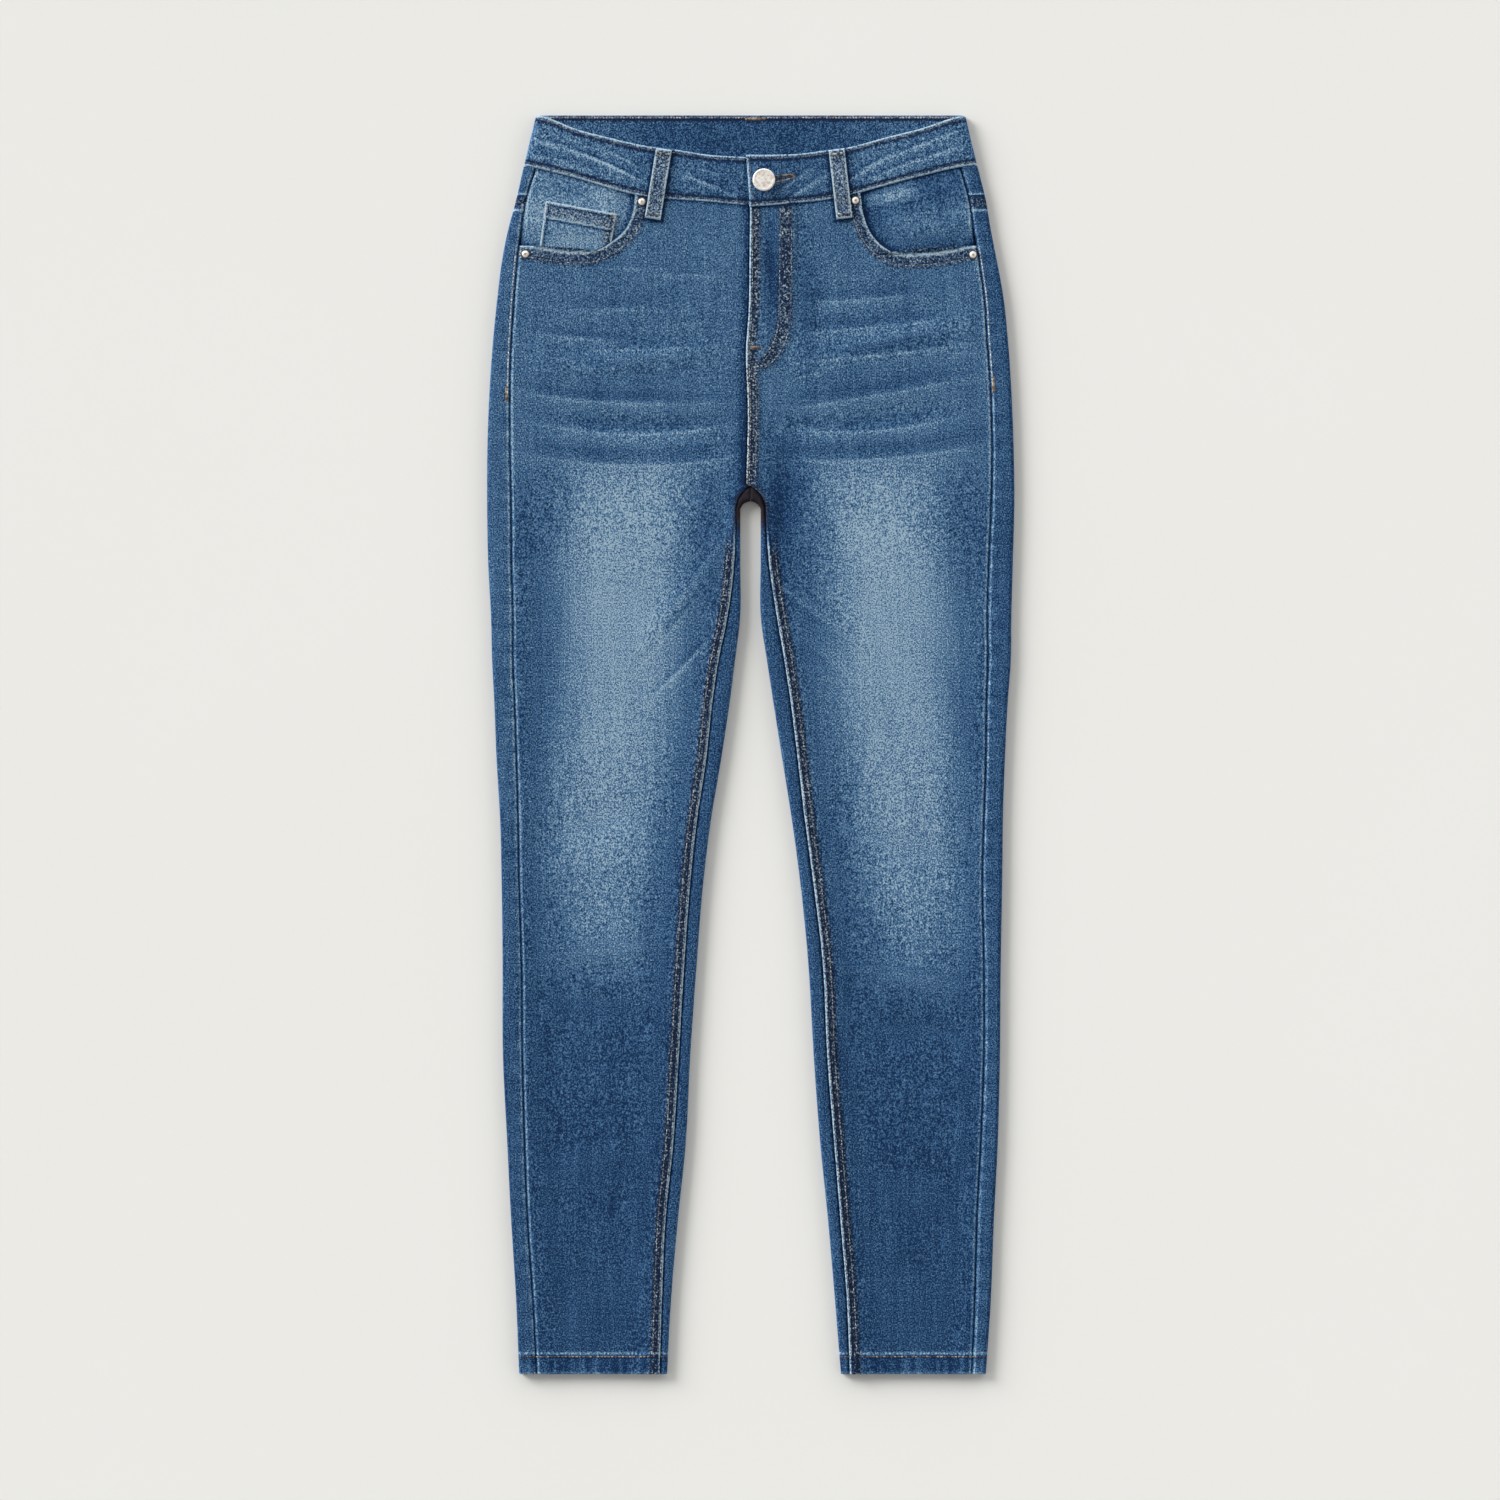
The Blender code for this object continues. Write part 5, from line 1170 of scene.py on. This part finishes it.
SIDE_TACK_Y = {"left": 287.4, "right": 294.8}
FLY_TACK_Y = 325.0
FLY_STITCHES = ((34.5, 305.5, 346.0), (25.0, 313.0, 344.0))
FLY_TOP_Y = 439.0
RISE_STITCHES = ((2.6, FLY_TOP_Y), (7.4, 312.0))
INSEAM_STITCHES, SCOOP_STITCHES, SIDE_STITCH, SIDE_THREAD = (1.9, 6.2), (1.8, 8.6), 1.9, 0.95
denim_front = denim("denim_front")
for half in HALVES:
    outer, inner = front_rows(half)
    length = (outer[:, 0] - inner[:, 0])[:, None]
    middle = np.linspace(0, 1, MIDDLE_COLUMNS + 2)[1:-1]
    first, last = INNER_DISTANCES[-1], OUTER_DISTANCES[0]
    reach = np.concatenate([INNER_DISTANCES / length, (first + (length - first - last) * middle) / length,
                            1 - OUTER_DISTANCES / length], axis=1)
    out = inner[:, :1] + length * reach
    y = outer[:, 1:] + (inner[:, 1:] - outer[:, 1:]) * (1 - reach) ** 2
    lift = band_edge(half, "low", out[-1]) + UNDER_BAND - y[-1]
    y += lift * smoothstep((np.arange(len(y)) - len(y) + 16) / 15)[:, None]
    z = front_height(half, out, y)
    width, height = raised_band(half, y)
    inside = inner_seam_distance(half, out, y)
    under = z - cloth_wall(y) - LAP_THICKENING * height * (inside < width)
    tone = wash(half, out, y)
    side = (1 - reach) * length
    edge = reach * length
    scoop = scoop_distance(half, out, y)
    in_leg = 1 - smoothstep((y - CROTCH_Y) / 12)
    seamed = in_leg if half is LEFT else 1.0
    off_arc = 1 - bell(y - CROTCH_Y - 2, 24, 4)
    off_crotch = 1 - bell(y - CROTCH_Y + 2, 26, 4)
    worn = lines(side, FRONT_SEAM_WEAR)
    worn += 2.0 * bell(edge - 0.7, 0.7) * seamed * off_arc
    worn -= 0.8 * bell(edge - 2.4, 0.8) * off_arc * seamed
    worn += 1.6 * bell(scoop - 0.5, 0.7)
    # Painted shadow under the waistband's lower edge and beside the belt loop
    worn -= 1.0 * bell(band_edge(half, "low", out) - y, 1.8) + 1.2 * loop_shadow(half, out, y)
    # On the left, painted shadow of the fly's lap along the panel's inner edge above the crotch
    if half is LEFT:
        worn -= 0.9 * bell(edge, 5.0) * (1 - in_leg)
    felled = 1.15 * bell(edge - 5.0, 4.0, 4) * seamed * off_crotch
    hemmed = 0.8 * bell(scoop - 6.0, 4.6, 4)
    stitched = 1.1 * bell(inside - width + 7.2, 5.6, 4) * (1 - in_leg) * (half is RIGHT)
    # Brown-black painted shade along the inner edge at the crotch
    soil = 0.55 * bell(edge, 2.2) * bell(y - CROTCH_Y - 6, 22, 4)
    hem_tone, hem_wear = hem_marks(out, y)
    panel = cloth("denim_front_" + half.name, to_world(half, out, y, z), to_world(half, out, y, under),
                  denim_front, wash=tone + hem_tone, wear=worn + hem_wear, soil=soil,
                  band=np.maximum.reduce([felled, hemmed, stitched]))
    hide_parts("front_" + half.name)
    rows = []
    leg = np.linspace(HEM_FOLD_Y, CROTCH_Y - 36, 420)
    for inset in INSEAM_STITCHES:
        out = half.inner(leg) + half.inseam_depth(leg) + SEAM_GAP + inset
        rows.append((on_front(half, out, leg), UP))
    hip = np.linspace(SIDE_TACK_Y[half.name], SCOOPS[half.name][0].y - 2, 110)
    row = on_front(half, half.seam(hip) + SIDE_STITCH, hip, 0.1)
    sew("thread_side_" + half.name, [(row, UP)], pale_thread, width=SIDE_THREAD)
    share = np.linspace(0.0, 0.985, 220)
    scoop_out, scoop_y, _ = scoop_curve(half, share)
    way_out, way_y = np.gradient(scoop_out), np.gradient(scoop_y)
    size = np.hypot(way_out, way_y)
    for inset in SCOOP_STITCHES:
        out, y = scoop_out + way_y / size * -inset, scoop_y + way_out / size * inset
        keep = y < band_edge(half, "low", out) - 1.0
        rows.append((on_front(half, out, y)[keep], UP))
    tack_out = float(half.seam(SIDE_TACK_Y[half.name])) + 2.6
    tack_z = float(front_height(half, tack_out, SIDE_TACK_Y[half.name])) + 0.1
    tacks = tack((half.side * tack_out, SIDE_TACK_Y[half.name], tack_z), 90, 12.0, stitch=3.0)
    if half is RIGHT:
        rise = np.linspace(CROTCH_Y + CROTCH_RADIUS + CROTCH_SEAM_DEPTH + 1, FLY_TOP_Y, 190)
        for inset, top_y in RISE_STITCHES:
            y = rise[rise < top_y]
            rows.append((on_front(half, half.fly(y) + inset, y), UP))
        for width, low_y, bend_y in FLY_STITCHES:
            bend = bend_y - low_y
            turn = np.linspace(0, np.pi / 2, 60)
            straight = np.linspace(bend_y + 1, FLY_TOP_Y + 0.5, 120)
            out = np.concatenate([2.0 + (width - 2.0) * np.sin(turn), np.full(len(straight), width)])
            y = np.concatenate([low_y + bend * (1 - np.cos(turn)), straight])
            rows.append((on_front(half, half.fly(y) + out, y), UP))
        tack_z = float(front_height(half, 3.0, FLY_TACK_Y)) + 0.15
        tacks += tack((4.0, FLY_TACK_Y, tack_z), 0, 8.0, stitch=3.4)
    sew("thread_front_" + half.name, rows, thread)
    sew("thread_tacks_" + half.name, tacks, brown_thread)


# Waistband: a doubled strip of denim from the lap at the fly, round the back and to the underlap, sewn on
# with a row of stitches along both edges. Its inside shows at the back, above the dipping front.
BAND_WALL = 2.2
BAND_TOP, LAP_TOP, UNDERLAP_TOP = 6.6, 8.6, 6.1
BAND_SIDE_INSET, UNDERLAP = 13.5, 24.0
LAP_START, LAP_STEP, LAP_RUN = 2.0, 4.0, 75.0
BAND_WIDTH = 41.0
BAND_MIDDLE_Y, LAP_TOP_Y, LAP_LOW_Y = 462.0, 483.0, 441.0
BAND_STITCH, INSIDE_STITCH, LAP_STITCH = 2.6, 1.9, 2.6
BAND_INSIDE_WEAR = (Line(0.2, 0.7, 0.9), Line(-1.2, 3.6, 0.8))
BUTTONHOLE_START, BUTTONHOLE_END, BUTTONHOLE_Y, BUTTONHOLE_SLOPE = 20.0, 35.5, 463.0, 0.17
BUTTONHOLE_SEWN_TO, BUTTONHOLE_PITCH, BUTTONHOLE_STITCH = 36.6, 0.55, 0.9
BUTTONHOLE_LENGTH, BUTTONHOLE_SPREAD, BUTTONHOLE_TACK = 17.0, 2.3, (35.4, 466.0)
BAND_LEVELS = np.concatenate([
    [0.0, 0.006, 0.015, 0.03, 0.05, 0.07, 0.09, 0.11], np.linspace(0.135, 0.865, 24),
    [0.89, 0.91, 0.93, 0.95, 0.97, 0.985, 0.994, 1.0],
])
BAND_FRONT_COLUMNS, BAND_BACK_COLUMNS, BAND_FOLD_COLUMNS = 130, 80, 12
BAND_TURNS = np.radians(np.linspace(0, 180, BAND_FOLD_COLUMNS + 2)[1:-1])
PULLS = [Whisker(*row) for row in (
    # Pulled creases of the waistband's front
    (-168.0, 494.0, 20.0, 2.5, -14.0, 0.0, 0.70),
    (-150.0, 487.0, 26.0, 2.5, -18.0, 0.0, 0.90),
    (-136.0, 492.0, 18.0, 2.0, -20.0, 0.0, 0.60),
    (-128.0, 480.0, 24.0, 2.5, -22.0, 0.0, 1.00),
    (-114.0, 474.0, 22.0, 2.5, -24.0, 0.0, 0.90),
    (-108.0, 482.0, 18.0, 2.0, -26.0, 0.0, 0.70),
    (-98.0, 466.0, 16.0, 2.5, -26.0, 0.0, 0.80),
    (-165.0, 481.0, 16.0, 3.0, -10.0, 0.0, 0.60),
    (-140.0, 473.0, 18.0, 3.0, -16.0, 0.0, 0.60),
    (-58.0, 470.0, 14.0, 2.5, -14.0, 0.0, 0.60),
    (-44.0, 463.0, 16.0, 2.5, -20.0, 0.0, 0.80),
    (-28.0, 456.0, 14.0, 2.5, -24.0, 0.0, 0.70),
    (-34.0, 470.0, 14.0, 2.0, -16.0, 0.0, 0.50),
    (36.0, 462.0, 16.0, 2.5, 36.0, 0.0, 1.00),
    (47.0, 458.0, 16.0, 2.5, 38.0, 0.0, 0.90),
    (57.0, 463.0, 14.0, 2.5, 34.0, 0.0, 0.70),
    (40.0, 452.0, 12.0, 2.0, 30.0, 0.0, 0.60),
    (92.0, 469.0, 18.0, 3.0, 32.0, 0.0, 0.90),
    (104.0, 478.0, 20.0, 2.5, 28.0, 0.0, 0.90),
    (116.0, 471.0, 22.0, 3.0, 22.0, 0.0, 0.80),
    (126.0, 486.0, 22.0, 2.5, 24.0, 0.0, 0.90),
    (142.0, 480.0, 20.0, 3.0, 18.0, 0.0, 0.70),
    (150.0, 495.0, 20.0, 2.5, 22.0, 0.0, 0.80),
    (162.0, 487.0, 16.0, 3.0, 14.0, 0.0, 0.60),
)]


def band_front_height(half, out):
    """Upper face of the waistband's front: level, sunk under the lap, and rising to the lap's end."""
    if half is LEFT:
        return UNDERLAP_TOP + (BAND_TOP - UNDERLAP_TOP) * smoothstep((out - LAP_START) / LAP_STEP)
    return BAND_TOP + (LAP_TOP - BAND_TOP) * (1 - smoothstep((out - half.fly(BAND_MIDDLE_Y)) / LAP_RUN))


def band_level(half, out, level):
    """Place along Y of a share of the waistband's width, from its top edge down, on the front."""
    return band_edge(half, "top", out) * (1 - level) + band_edge(half, "low", out) * level


def band_front(half, level, reach):
    """Points of a front run of the waistband at levels across its width, at distances out."""
    out = reach[:, None] + 0 * level
    y = band_level(half, out, level)
    if half is RIGHT:
        lap = half.fly(BAND_MIDDLE_Y)
        out = out + (half.fly(y) - lap) * (1 - smoothstep((out - lap) / 12))
    z = band_front_height(half, out)
    normal = np.zeros(out.shape + (3,))
    normal[..., 2] = 1
    return half.side * out, y, z, normal


def band_fold(half, level, rising):
    """Points of the waistband's turn round one side, from the underside up when rising."""
    radius = BAND_TOP / 2
    turn = BAND_TURNS[::-1] if rising else BAND_TURNS
    y_back = WAIST_Y * (1 - level) + BACK_BAND_LOW_Y * level
    outer = half.outer(y_back)
    out = outer - radius + radius * np.sin(turn)[:, None]
    y_front = band_level(half, outer - radius, level)
    share = (1 - np.cos(turn)[:, None]) / 2
    y = y_front * (1 - share) + y_back * share
    z = radius + radius * np.cos(turn)[:, None] + 0 * level
    normal = np.zeros(out.shape + (3,))
    normal[..., 0] = half.side * np.sin(turn)[:, None]
    normal[..., 2] = np.cos(turn)[:, None]
    return half.side * out, y, z, normal


denim_band = denim("denim_band", 0.0, 1.1)
level = BAND_LEVELS
left_side = LEFT.outer(BACK_BAND_LOW_Y) - BAND_SIDE_INSET
right_side = RIGHT.outer(BACK_BAND_LOW_Y) - BAND_SIDE_INSET
left_reach = np.concatenate([np.linspace(-UNDERLAP, LAP_START, 10),
                             np.linspace(LAP_START + 2, left_side, BAND_FRONT_COLUMNS)])
lap_end = RIGHT.fly(BAND_MIDDLE_Y)
right_reach = np.concatenate([lap_end + np.array([0, 0.25, 0.6, 1.2, 2.0, 3.0]),
                              np.linspace(lap_end + 4.5, right_side, BAND_FRONT_COLUMNS)])[::-1]
back_x = np.linspace(-left_side, right_side, BAND_BACK_COLUMNS)[:, None] + 0 * level
back_y = WAIST_Y * (1 - level) + BACK_BAND_LOW_Y * level + 0 * back_x
back_lift = np.minimum(*(seat_lift(half, back_x, BACK_BAND_LOW_Y) for half in HALVES))
down = np.zeros(back_x.shape + (3,))
down[..., 2] = -1
runs = [
    band_front(LEFT, level, left_reach),
    band_fold(LEFT, level, rising=False),
    (back_x, back_y, np.maximum(back_lift, SOLE), down),
    band_fold(RIGHT, level, rising=True),
    band_front(RIGHT, level, right_reach),
]
x, y, z, normal = (np.concatenate([run[k] for run in runs]) for k in range(4))
edge = np.minimum(level, 1 - level) * BAND_WIDTH
end = np.full(len(x), 99.0)
end[-len(right_reach):] = right_reach - right_reach[-1]
rolled = rounded_edge(np.minimum(edge, end[:, None]), 0.9)
run = np.concatenate([[0], np.cumsum(np.hypot(np.diff(x[:, 10]), np.diff(z[:, 10])))])
pucker = 0.13 * wave(run, 7.5, 1.5, 31)[:, None] * bell(edge, 6)
pressed = -0.22 * bell(edge - 2.6, 0.9)
facing_up = np.clip(normal[..., 2], 0, 1)
pull_height, pull_fade = whiskers(x, y, PULLS)
relief = (pucker + pressed + pull_height) * facing_up - rolled
face = np.stack([x, y, z], axis=-1) + normal * relief[..., None]
lining = np.stack([x, y, z], axis=-1) - normal * (BAND_WALL - rolled)[..., None]
tone = 0.27 + 0.13 * smoothstep((np.abs(x) - 60) / 60) + 1.25 * pull_fade * facing_up
tone = tone - 0.26 * oval(x - 15, 3.0, y - 474, 5.0) * facing_up
# Painted shade: darker where the band's outer face turns down, on the under half of each turn and the inside
# seen at the back
tone = tone - 0.12 * (normal[..., 2] < 0)
to_edge = np.minimum(edge, end[:, None])
worn = 1.6 * bell(to_edge - 0.7, 0.9) - 0.9 * bell(edge - 4.4, 1.1) + 0 * x
worn = np.where(normal[..., 2] < 0, lines(edge, BAND_INSIDE_WEAR), worn)
worn = worn - 1.2 * facing_up * np.maximum(*(loop_shadow(half, half.side * x, y) for half in HALVES))
# The buttonhole's slit is painted brown-black shade
slit = bell(y - BUTTONHOLE_Y - BUTTONHOLE_SLOPE * (x - BUTTONHOLE_START), 0.9)
slit = 0.9 * slit * ((x > BUTTONHOLE_START) & (x < BUTTONHOLE_END)) * facing_up
band = 0.5 * bell(edge - 3.6, 2.2, 4) + 0 * x
waistband = cloth("denim_waistband", face, lining, denim_band, wash=tone, wear=worn, band=band, soil=slit)
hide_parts("waistband")
rows = []
for share in (BAND_STITCH / BAND_WIDTH, 1 - BAND_STITCH / BAND_WIDTH):
    points = face[:, np.argmin(np.abs(level - share))]
    rows.append((points[10:-3], normal[10:-3, 10]))
inside_row = lining[:, np.argmin(np.abs(level - INSIDE_STITCH / BAND_WIDTH))]
back_run = slice(len(left_reach) + BAND_FOLD_COLUMNS, len(left_reach) + BAND_FOLD_COLUMNS + BAND_BACK_COLUMNS)
centre_tack = tack((4.0, 513.0, SEAT_LIFT + BAND_WALL + 0.1), 0, 15.0, stitch=3.2)
sew("thread_waistband_inside", [(inside_row[back_run], UP)] + centre_tack, brown_thread, 2.4, 1.3)
share = np.linspace(0.08, 0.92, 30)
lap_y = LAP_TOP_Y + (LAP_LOW_Y - LAP_TOP_Y) * share
lap_out = RIGHT.fly(lap_y) + LAP_STITCH
rows.append((np.column_stack([lap_out, lap_y, np.full(len(share), LAP_TOP - 0.05)]), UP))
for way in (-1, 1):
    for x in np.arange(BUTTONHOLE_START, BUTTONHOLE_SEWN_TO, BUTTONHOLE_PITCH):
        run = x - BUTTONHOLE_START
        spread = BUTTONHOLE_SPREAD * np.sqrt(1 - (run / BUTTONHOLE_LENGTH) ** 2)
        y = BUTTONHOLE_Y + run * BUTTONHOLE_SLOPE + way * spread
        z = float(band_front_height(RIGHT, x)) + 0.02
        rows.append((np.array([[x, y - BUTTONHOLE_STITCH, z], [x, y + BUTTONHOLE_STITCH, z]]), UP))
tack_z = float(band_front_height(RIGHT, BUTTONHOLE_TACK[0])) + 0.1
rows += tack((*BUTTONHOLE_TACK, tack_z), 99, 4.4, stitch=1.8)
sew("thread_waistband", rows, tan_thread)


# Belt loops: folded strips of denim with a row of stitches down each edge, turned under at both ends and
# tacked. Two show on the front, and three lie flat under the back of the waistband.
LOOP_WALL, LOOP_TURN = 1.6, 0.9
LOOP_RAMP, LOOP_BULGE, LOOP_ENDS = 6.0, 0.8, 0.1
BACK_LOOP_TOP, BACK_LOOP_LOW_Y, BACK_LOOP_TOP_Y = 1.2, 456.0, 515.7
LOOP_ROWS = 60
LOOP_STITCHES, LOOP_TACK = (-4.1, 4.1), 10.5
LOOP_WEAR = (Line(2.0, 0.6, 0.8), Line(-0.6, 2.4, 0.9))
LOOP_PLACES = np.array([-0.5, -0.485, -0.46, -0.42, -0.34, -0.2, 0.0, 0.2, 0.34, 0.42, 0.46, 0.485, 0.5])
BACK_LOOPS = {"belt_loop_back_left": -105.0, "belt_loop_back_centre": 3.7, "belt_loop_back_right": 105.0}


def front_loop_ground(half, out, y):
    """What a front belt loop lies on: the panel below the waistband, and the waistband."""
    on_band = smoothstep((y - band_edge(half, "low", out) + LOOP_RAMP) / LOOP_RAMP)
    panel = top_height(half, out, y)
    return np.maximum(panel * (1 - on_band) + BAND_TOP * on_band, panel)


def strap(name, path, thickness, facing, finish, tone):
    """Flat strap across a path of centre points: rounded edges, thickness along facing (1 up, -1 down)."""
    run = np.gradient(path[:, :2], axis=0)
    run /= np.hypot(run[:, 0], run[:, 1])[:, None]
    cross = np.column_stack([run[:, 1], -run[:, 0], np.zeros(len(run))])
    lower = path[:, None] + cross[:, None] * (LOOP_PLACES * LOOP_WIDTH)[:, None]
    length = np.concatenate([[0], np.cumsum(np.hypot(*np.diff(path[:, :2], axis=0).T))])
    to_end = np.minimum(length, length[-1] - length)[:, None]
    edge = np.minimum((0.5 - np.abs(LOOP_PLACES)) * LOOP_WIDTH, to_end)
    pressed = 0.16 * bell(edge - 2.4, 0.8)
    rise = np.zeros(lower.shape)
    rise[..., 2] = facing * (thickness[:, None] - rounded_edge(edge, 0.45) - pressed)
    worn = lines(edge, LOOP_WEAR)
    band = 0.65 - 0.4 * bell(edge, 1.2)
    return cloth(name, lower + rise, lower, finish, wash=tone + 0 * worn, wear=worn, band=band)


for half in HALVES:
    loop = FRONT_LOOPS[half.name]
    share = np.linspace(0, 1, LOOP_ROWS)
    out = loop.low_out + (loop.top_out - loop.low_out) * share
    y = loop.low_y + (loop.top_y - loop.low_y) * share
    bulge = LOOP_BULGE * np.sin(np.pi * smoothstep(share)) ** 2
    path = to_world(half, out, y, front_loop_ground(half, out, y) + SEAM_GAP + bulge)
    turned_under = smoothstep((LOOP_ENDS - np.minimum(share, 1 - share)) / 0.03)
    thickness = LOOP_WALL + LOOP_TURN * turned_under
    made = strap("denim_belt_loop_front_" + half.name, path, thickness, 1, denim_band, 0.60)
    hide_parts("belt_loop_front_" + half.name)
    way = np.array([half.side * (loop.top_out - loop.low_out), loop.top_y - loop.low_y])
    way /= np.hypot(*way)
    rows = []
    for place in LOOP_STITCHES:
        row = path + (way[1] * place, -way[0] * place, 0.0)
        row[:, 2] += thickness - 0.1
        rows.append((row[2:-2], UP))
    for row_number in (4, -5):
        centre = path[row_number] + (0, 0, thickness[row_number] + 0.05)
        rows += tack(centre, np.degrees(np.arctan2(way[1], way[0])) - 90, LOOP_TACK)
    sew("thread_belt_loop_front_" + half.name, rows, thread)
for name, x in BACK_LOOPS.items():
    level = np.linspace(BACK_LOOP_LOW_Y, BACK_LOOP_TOP_Y, LOOP_ROWS)
    path = np.column_stack([np.full(LOOP_ROWS, x), level, np.full(LOOP_ROWS, BACK_LOOP_TOP)])
    made = strap("denim_" + name, path, np.full(LOOP_ROWS, BACK_LOOP_TOP - SOLE), -1, denim_band, 0.42)
    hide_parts(name)
    rows = [(np.column_stack([np.full(LOOP_ROWS, x + place), level, np.full(LOOP_ROWS, SOLE)])[2:-2], DOWN)
            for place in LOOP_STITCHES]
    for y in (BACK_LOOP_LOW_Y + 4, BACK_LOOP_TOP_Y - 4):
        rows += tack((x, y, SOLE), 0, LOOP_TACK, DOWN)
    sew("thread_" + name, rows, thread)


# Button: a pressed metal cap on a shank, with a rolled rim round a shallow bare face, clamped through the
# lap of the waistband. The rivets are small domed caps in the same pale metal at the pockets' ends.
BUTTON_AT = (10.9, 462.2)
BUTTON_SIDES, RIVET_SIDES = 72, 32
BUTTON_PROFILE = (
    (0.0, 0.0), (4.4, 0.0), (4.4, 1.4), (6.6, 1.7), (8.6, 2.2), (9.1, 2.6), (9.2, 3.05), (9.1, 3.45),
    (8.8, 3.8), (8.4, 3.95), (7.9, 3.98), (7.5, 3.92), (7.2, 3.86), (6.8, 3.82), (6.2, 3.82), (5.0, 3.86),
    (3.4, 3.92), (1.6, 3.96), (0.0, 3.97),
)
RIVET_PROFILE = (
    (0.0, 0.0), (3.5, 0.0), (3.65, 0.15), (3.6, 0.4), (3.3, 0.6), (2.9, 0.62), (2.6, 0.75), (2.3, 1.0),
    (1.8, 1.22), (1.2, 1.34), (0.6, 1.4), (0.0, 1.4),
)
# Dark ring round the rivet's rim: painted shade where it meets the cloth
RIVET_SHADE = np.array([1.0, 1.0, 1.0, 1.0, 1.0, 0.85, 0.3, 0.0, 0.0, 0.0, 0.6, 0.9])
RIVETS = {
    "left": {"top": (89.0, 444.9), "side": (184.5, 402.0)},
    "right": {"top": (86.0, 445.9), "side": (182.4, 401.4)},
}


def turned(name, centre, profile, segments, finish, shade):
    """Solid of revolution about +Z at centre: profile rows are radius and height, with fans at both poles.

    The shade gives how dark the metal is at each row of the profile, from 0 to 1.
    """
    profile = np.array(profile, float)
    angle = np.arange(segments) * 2 * np.pi / segments
    walls = profile[1:-1]
    rings = np.empty((len(walls), segments, 3))
    rings[..., 0] = walls[:, :1] * np.cos(angle)
    rings[..., 1] = walls[:, :1] * np.sin(angle)
    rings[..., 2] = walls[:, 1:]
    poles = np.array([[0, 0, profile[0, 1]], [0, 0, profile[-1, 1]]])
    points = np.concatenate([rings.reshape(-1, 3), poles]) + centre
    number = np.arange(rings.shape[0] * segments).reshape(rings.shape[0], segments)
    following = np.roll(number, -1, axis=1)
    quads = np.stack([number[:-1], following[:-1], following[1:], number[1:]], axis=-1).reshape(-1, 4)
    foot, crown = number.size, number.size + 1
    fans = [[foot, b, a] for a, b in zip(number[0], following[0])]
    fans += [[crown, a, b] for a, b in zip(number[-1], following[-1])]
    mesh = bpy.data.meshes.new(name)
    mesh.from_pydata((points * MM).tolist(), [], quads.tolist() + [list(map(int, fan)) for fan in fans])
    mesh.shade_smooth()
    mesh.set_sharp_from_angle(angle=np.radians(50))
    mesh.materials.append(finish.material)
    made = bpy.data.objects.new(name, mesh)
    scene.collection.objects.link(made)
    paint(made, {"shade": np.concatenate([np.repeat(shade[1:-1], segments), [shade[0], shade[-1]]])})
    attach(made, "root")
    return made


pale_metal = Finish("pale_metal", Metallic=0.2, Specular_IOR_Level=0.5)
place = pale_metal.node("TexCoord", output="Object")
stain = pale_metal.noise(place, 420, detail=3.0)
scratch = pale_metal.noise(place, 1400, (1.0, 0.25, 1.0), 2.0)
cream = pale_metal.node("ValToRGB", {0: stain + 0.5}, stops=(
    (0.30, srgb(212, 184, 170)), (0.43, srgb(232, 225, 214)), (0.62, srgb(250, 248, 242))))
pale_metal.drive("Base Color", pale_metal.mix(pale_metal.attribute("shade"), cream, srgb(58, 50, 46)))
pale_metal.drive("Roughness", scratch * 0.3 + 0.36)
pale_metal.bump(stain + scratch * 0.5, 0.00025, 0.7)
x, y = BUTTON_AT
button = turned("metal_button", (x, y, LAP_TOP + SEAM_GAP), BUTTON_PROFILE, BUTTON_SIDES, pale_metal,
                np.zeros(len(BUTTON_PROFILE)))
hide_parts("button")
for half in HALVES:
    for end_name, (out, y) in RIVETS[half.name].items():
        foot = float(top_height(half, out, y)) + SEAM_GAP
        rivet = turned("metal_rivet_" + half.name + "_" + end_name, (half.side * out, y, foot),
                       RIVET_PROFILE, RIVET_SIDES, pale_metal, RIVET_SHADE)
        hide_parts("rivet_" + half.name + "_" + end_name)
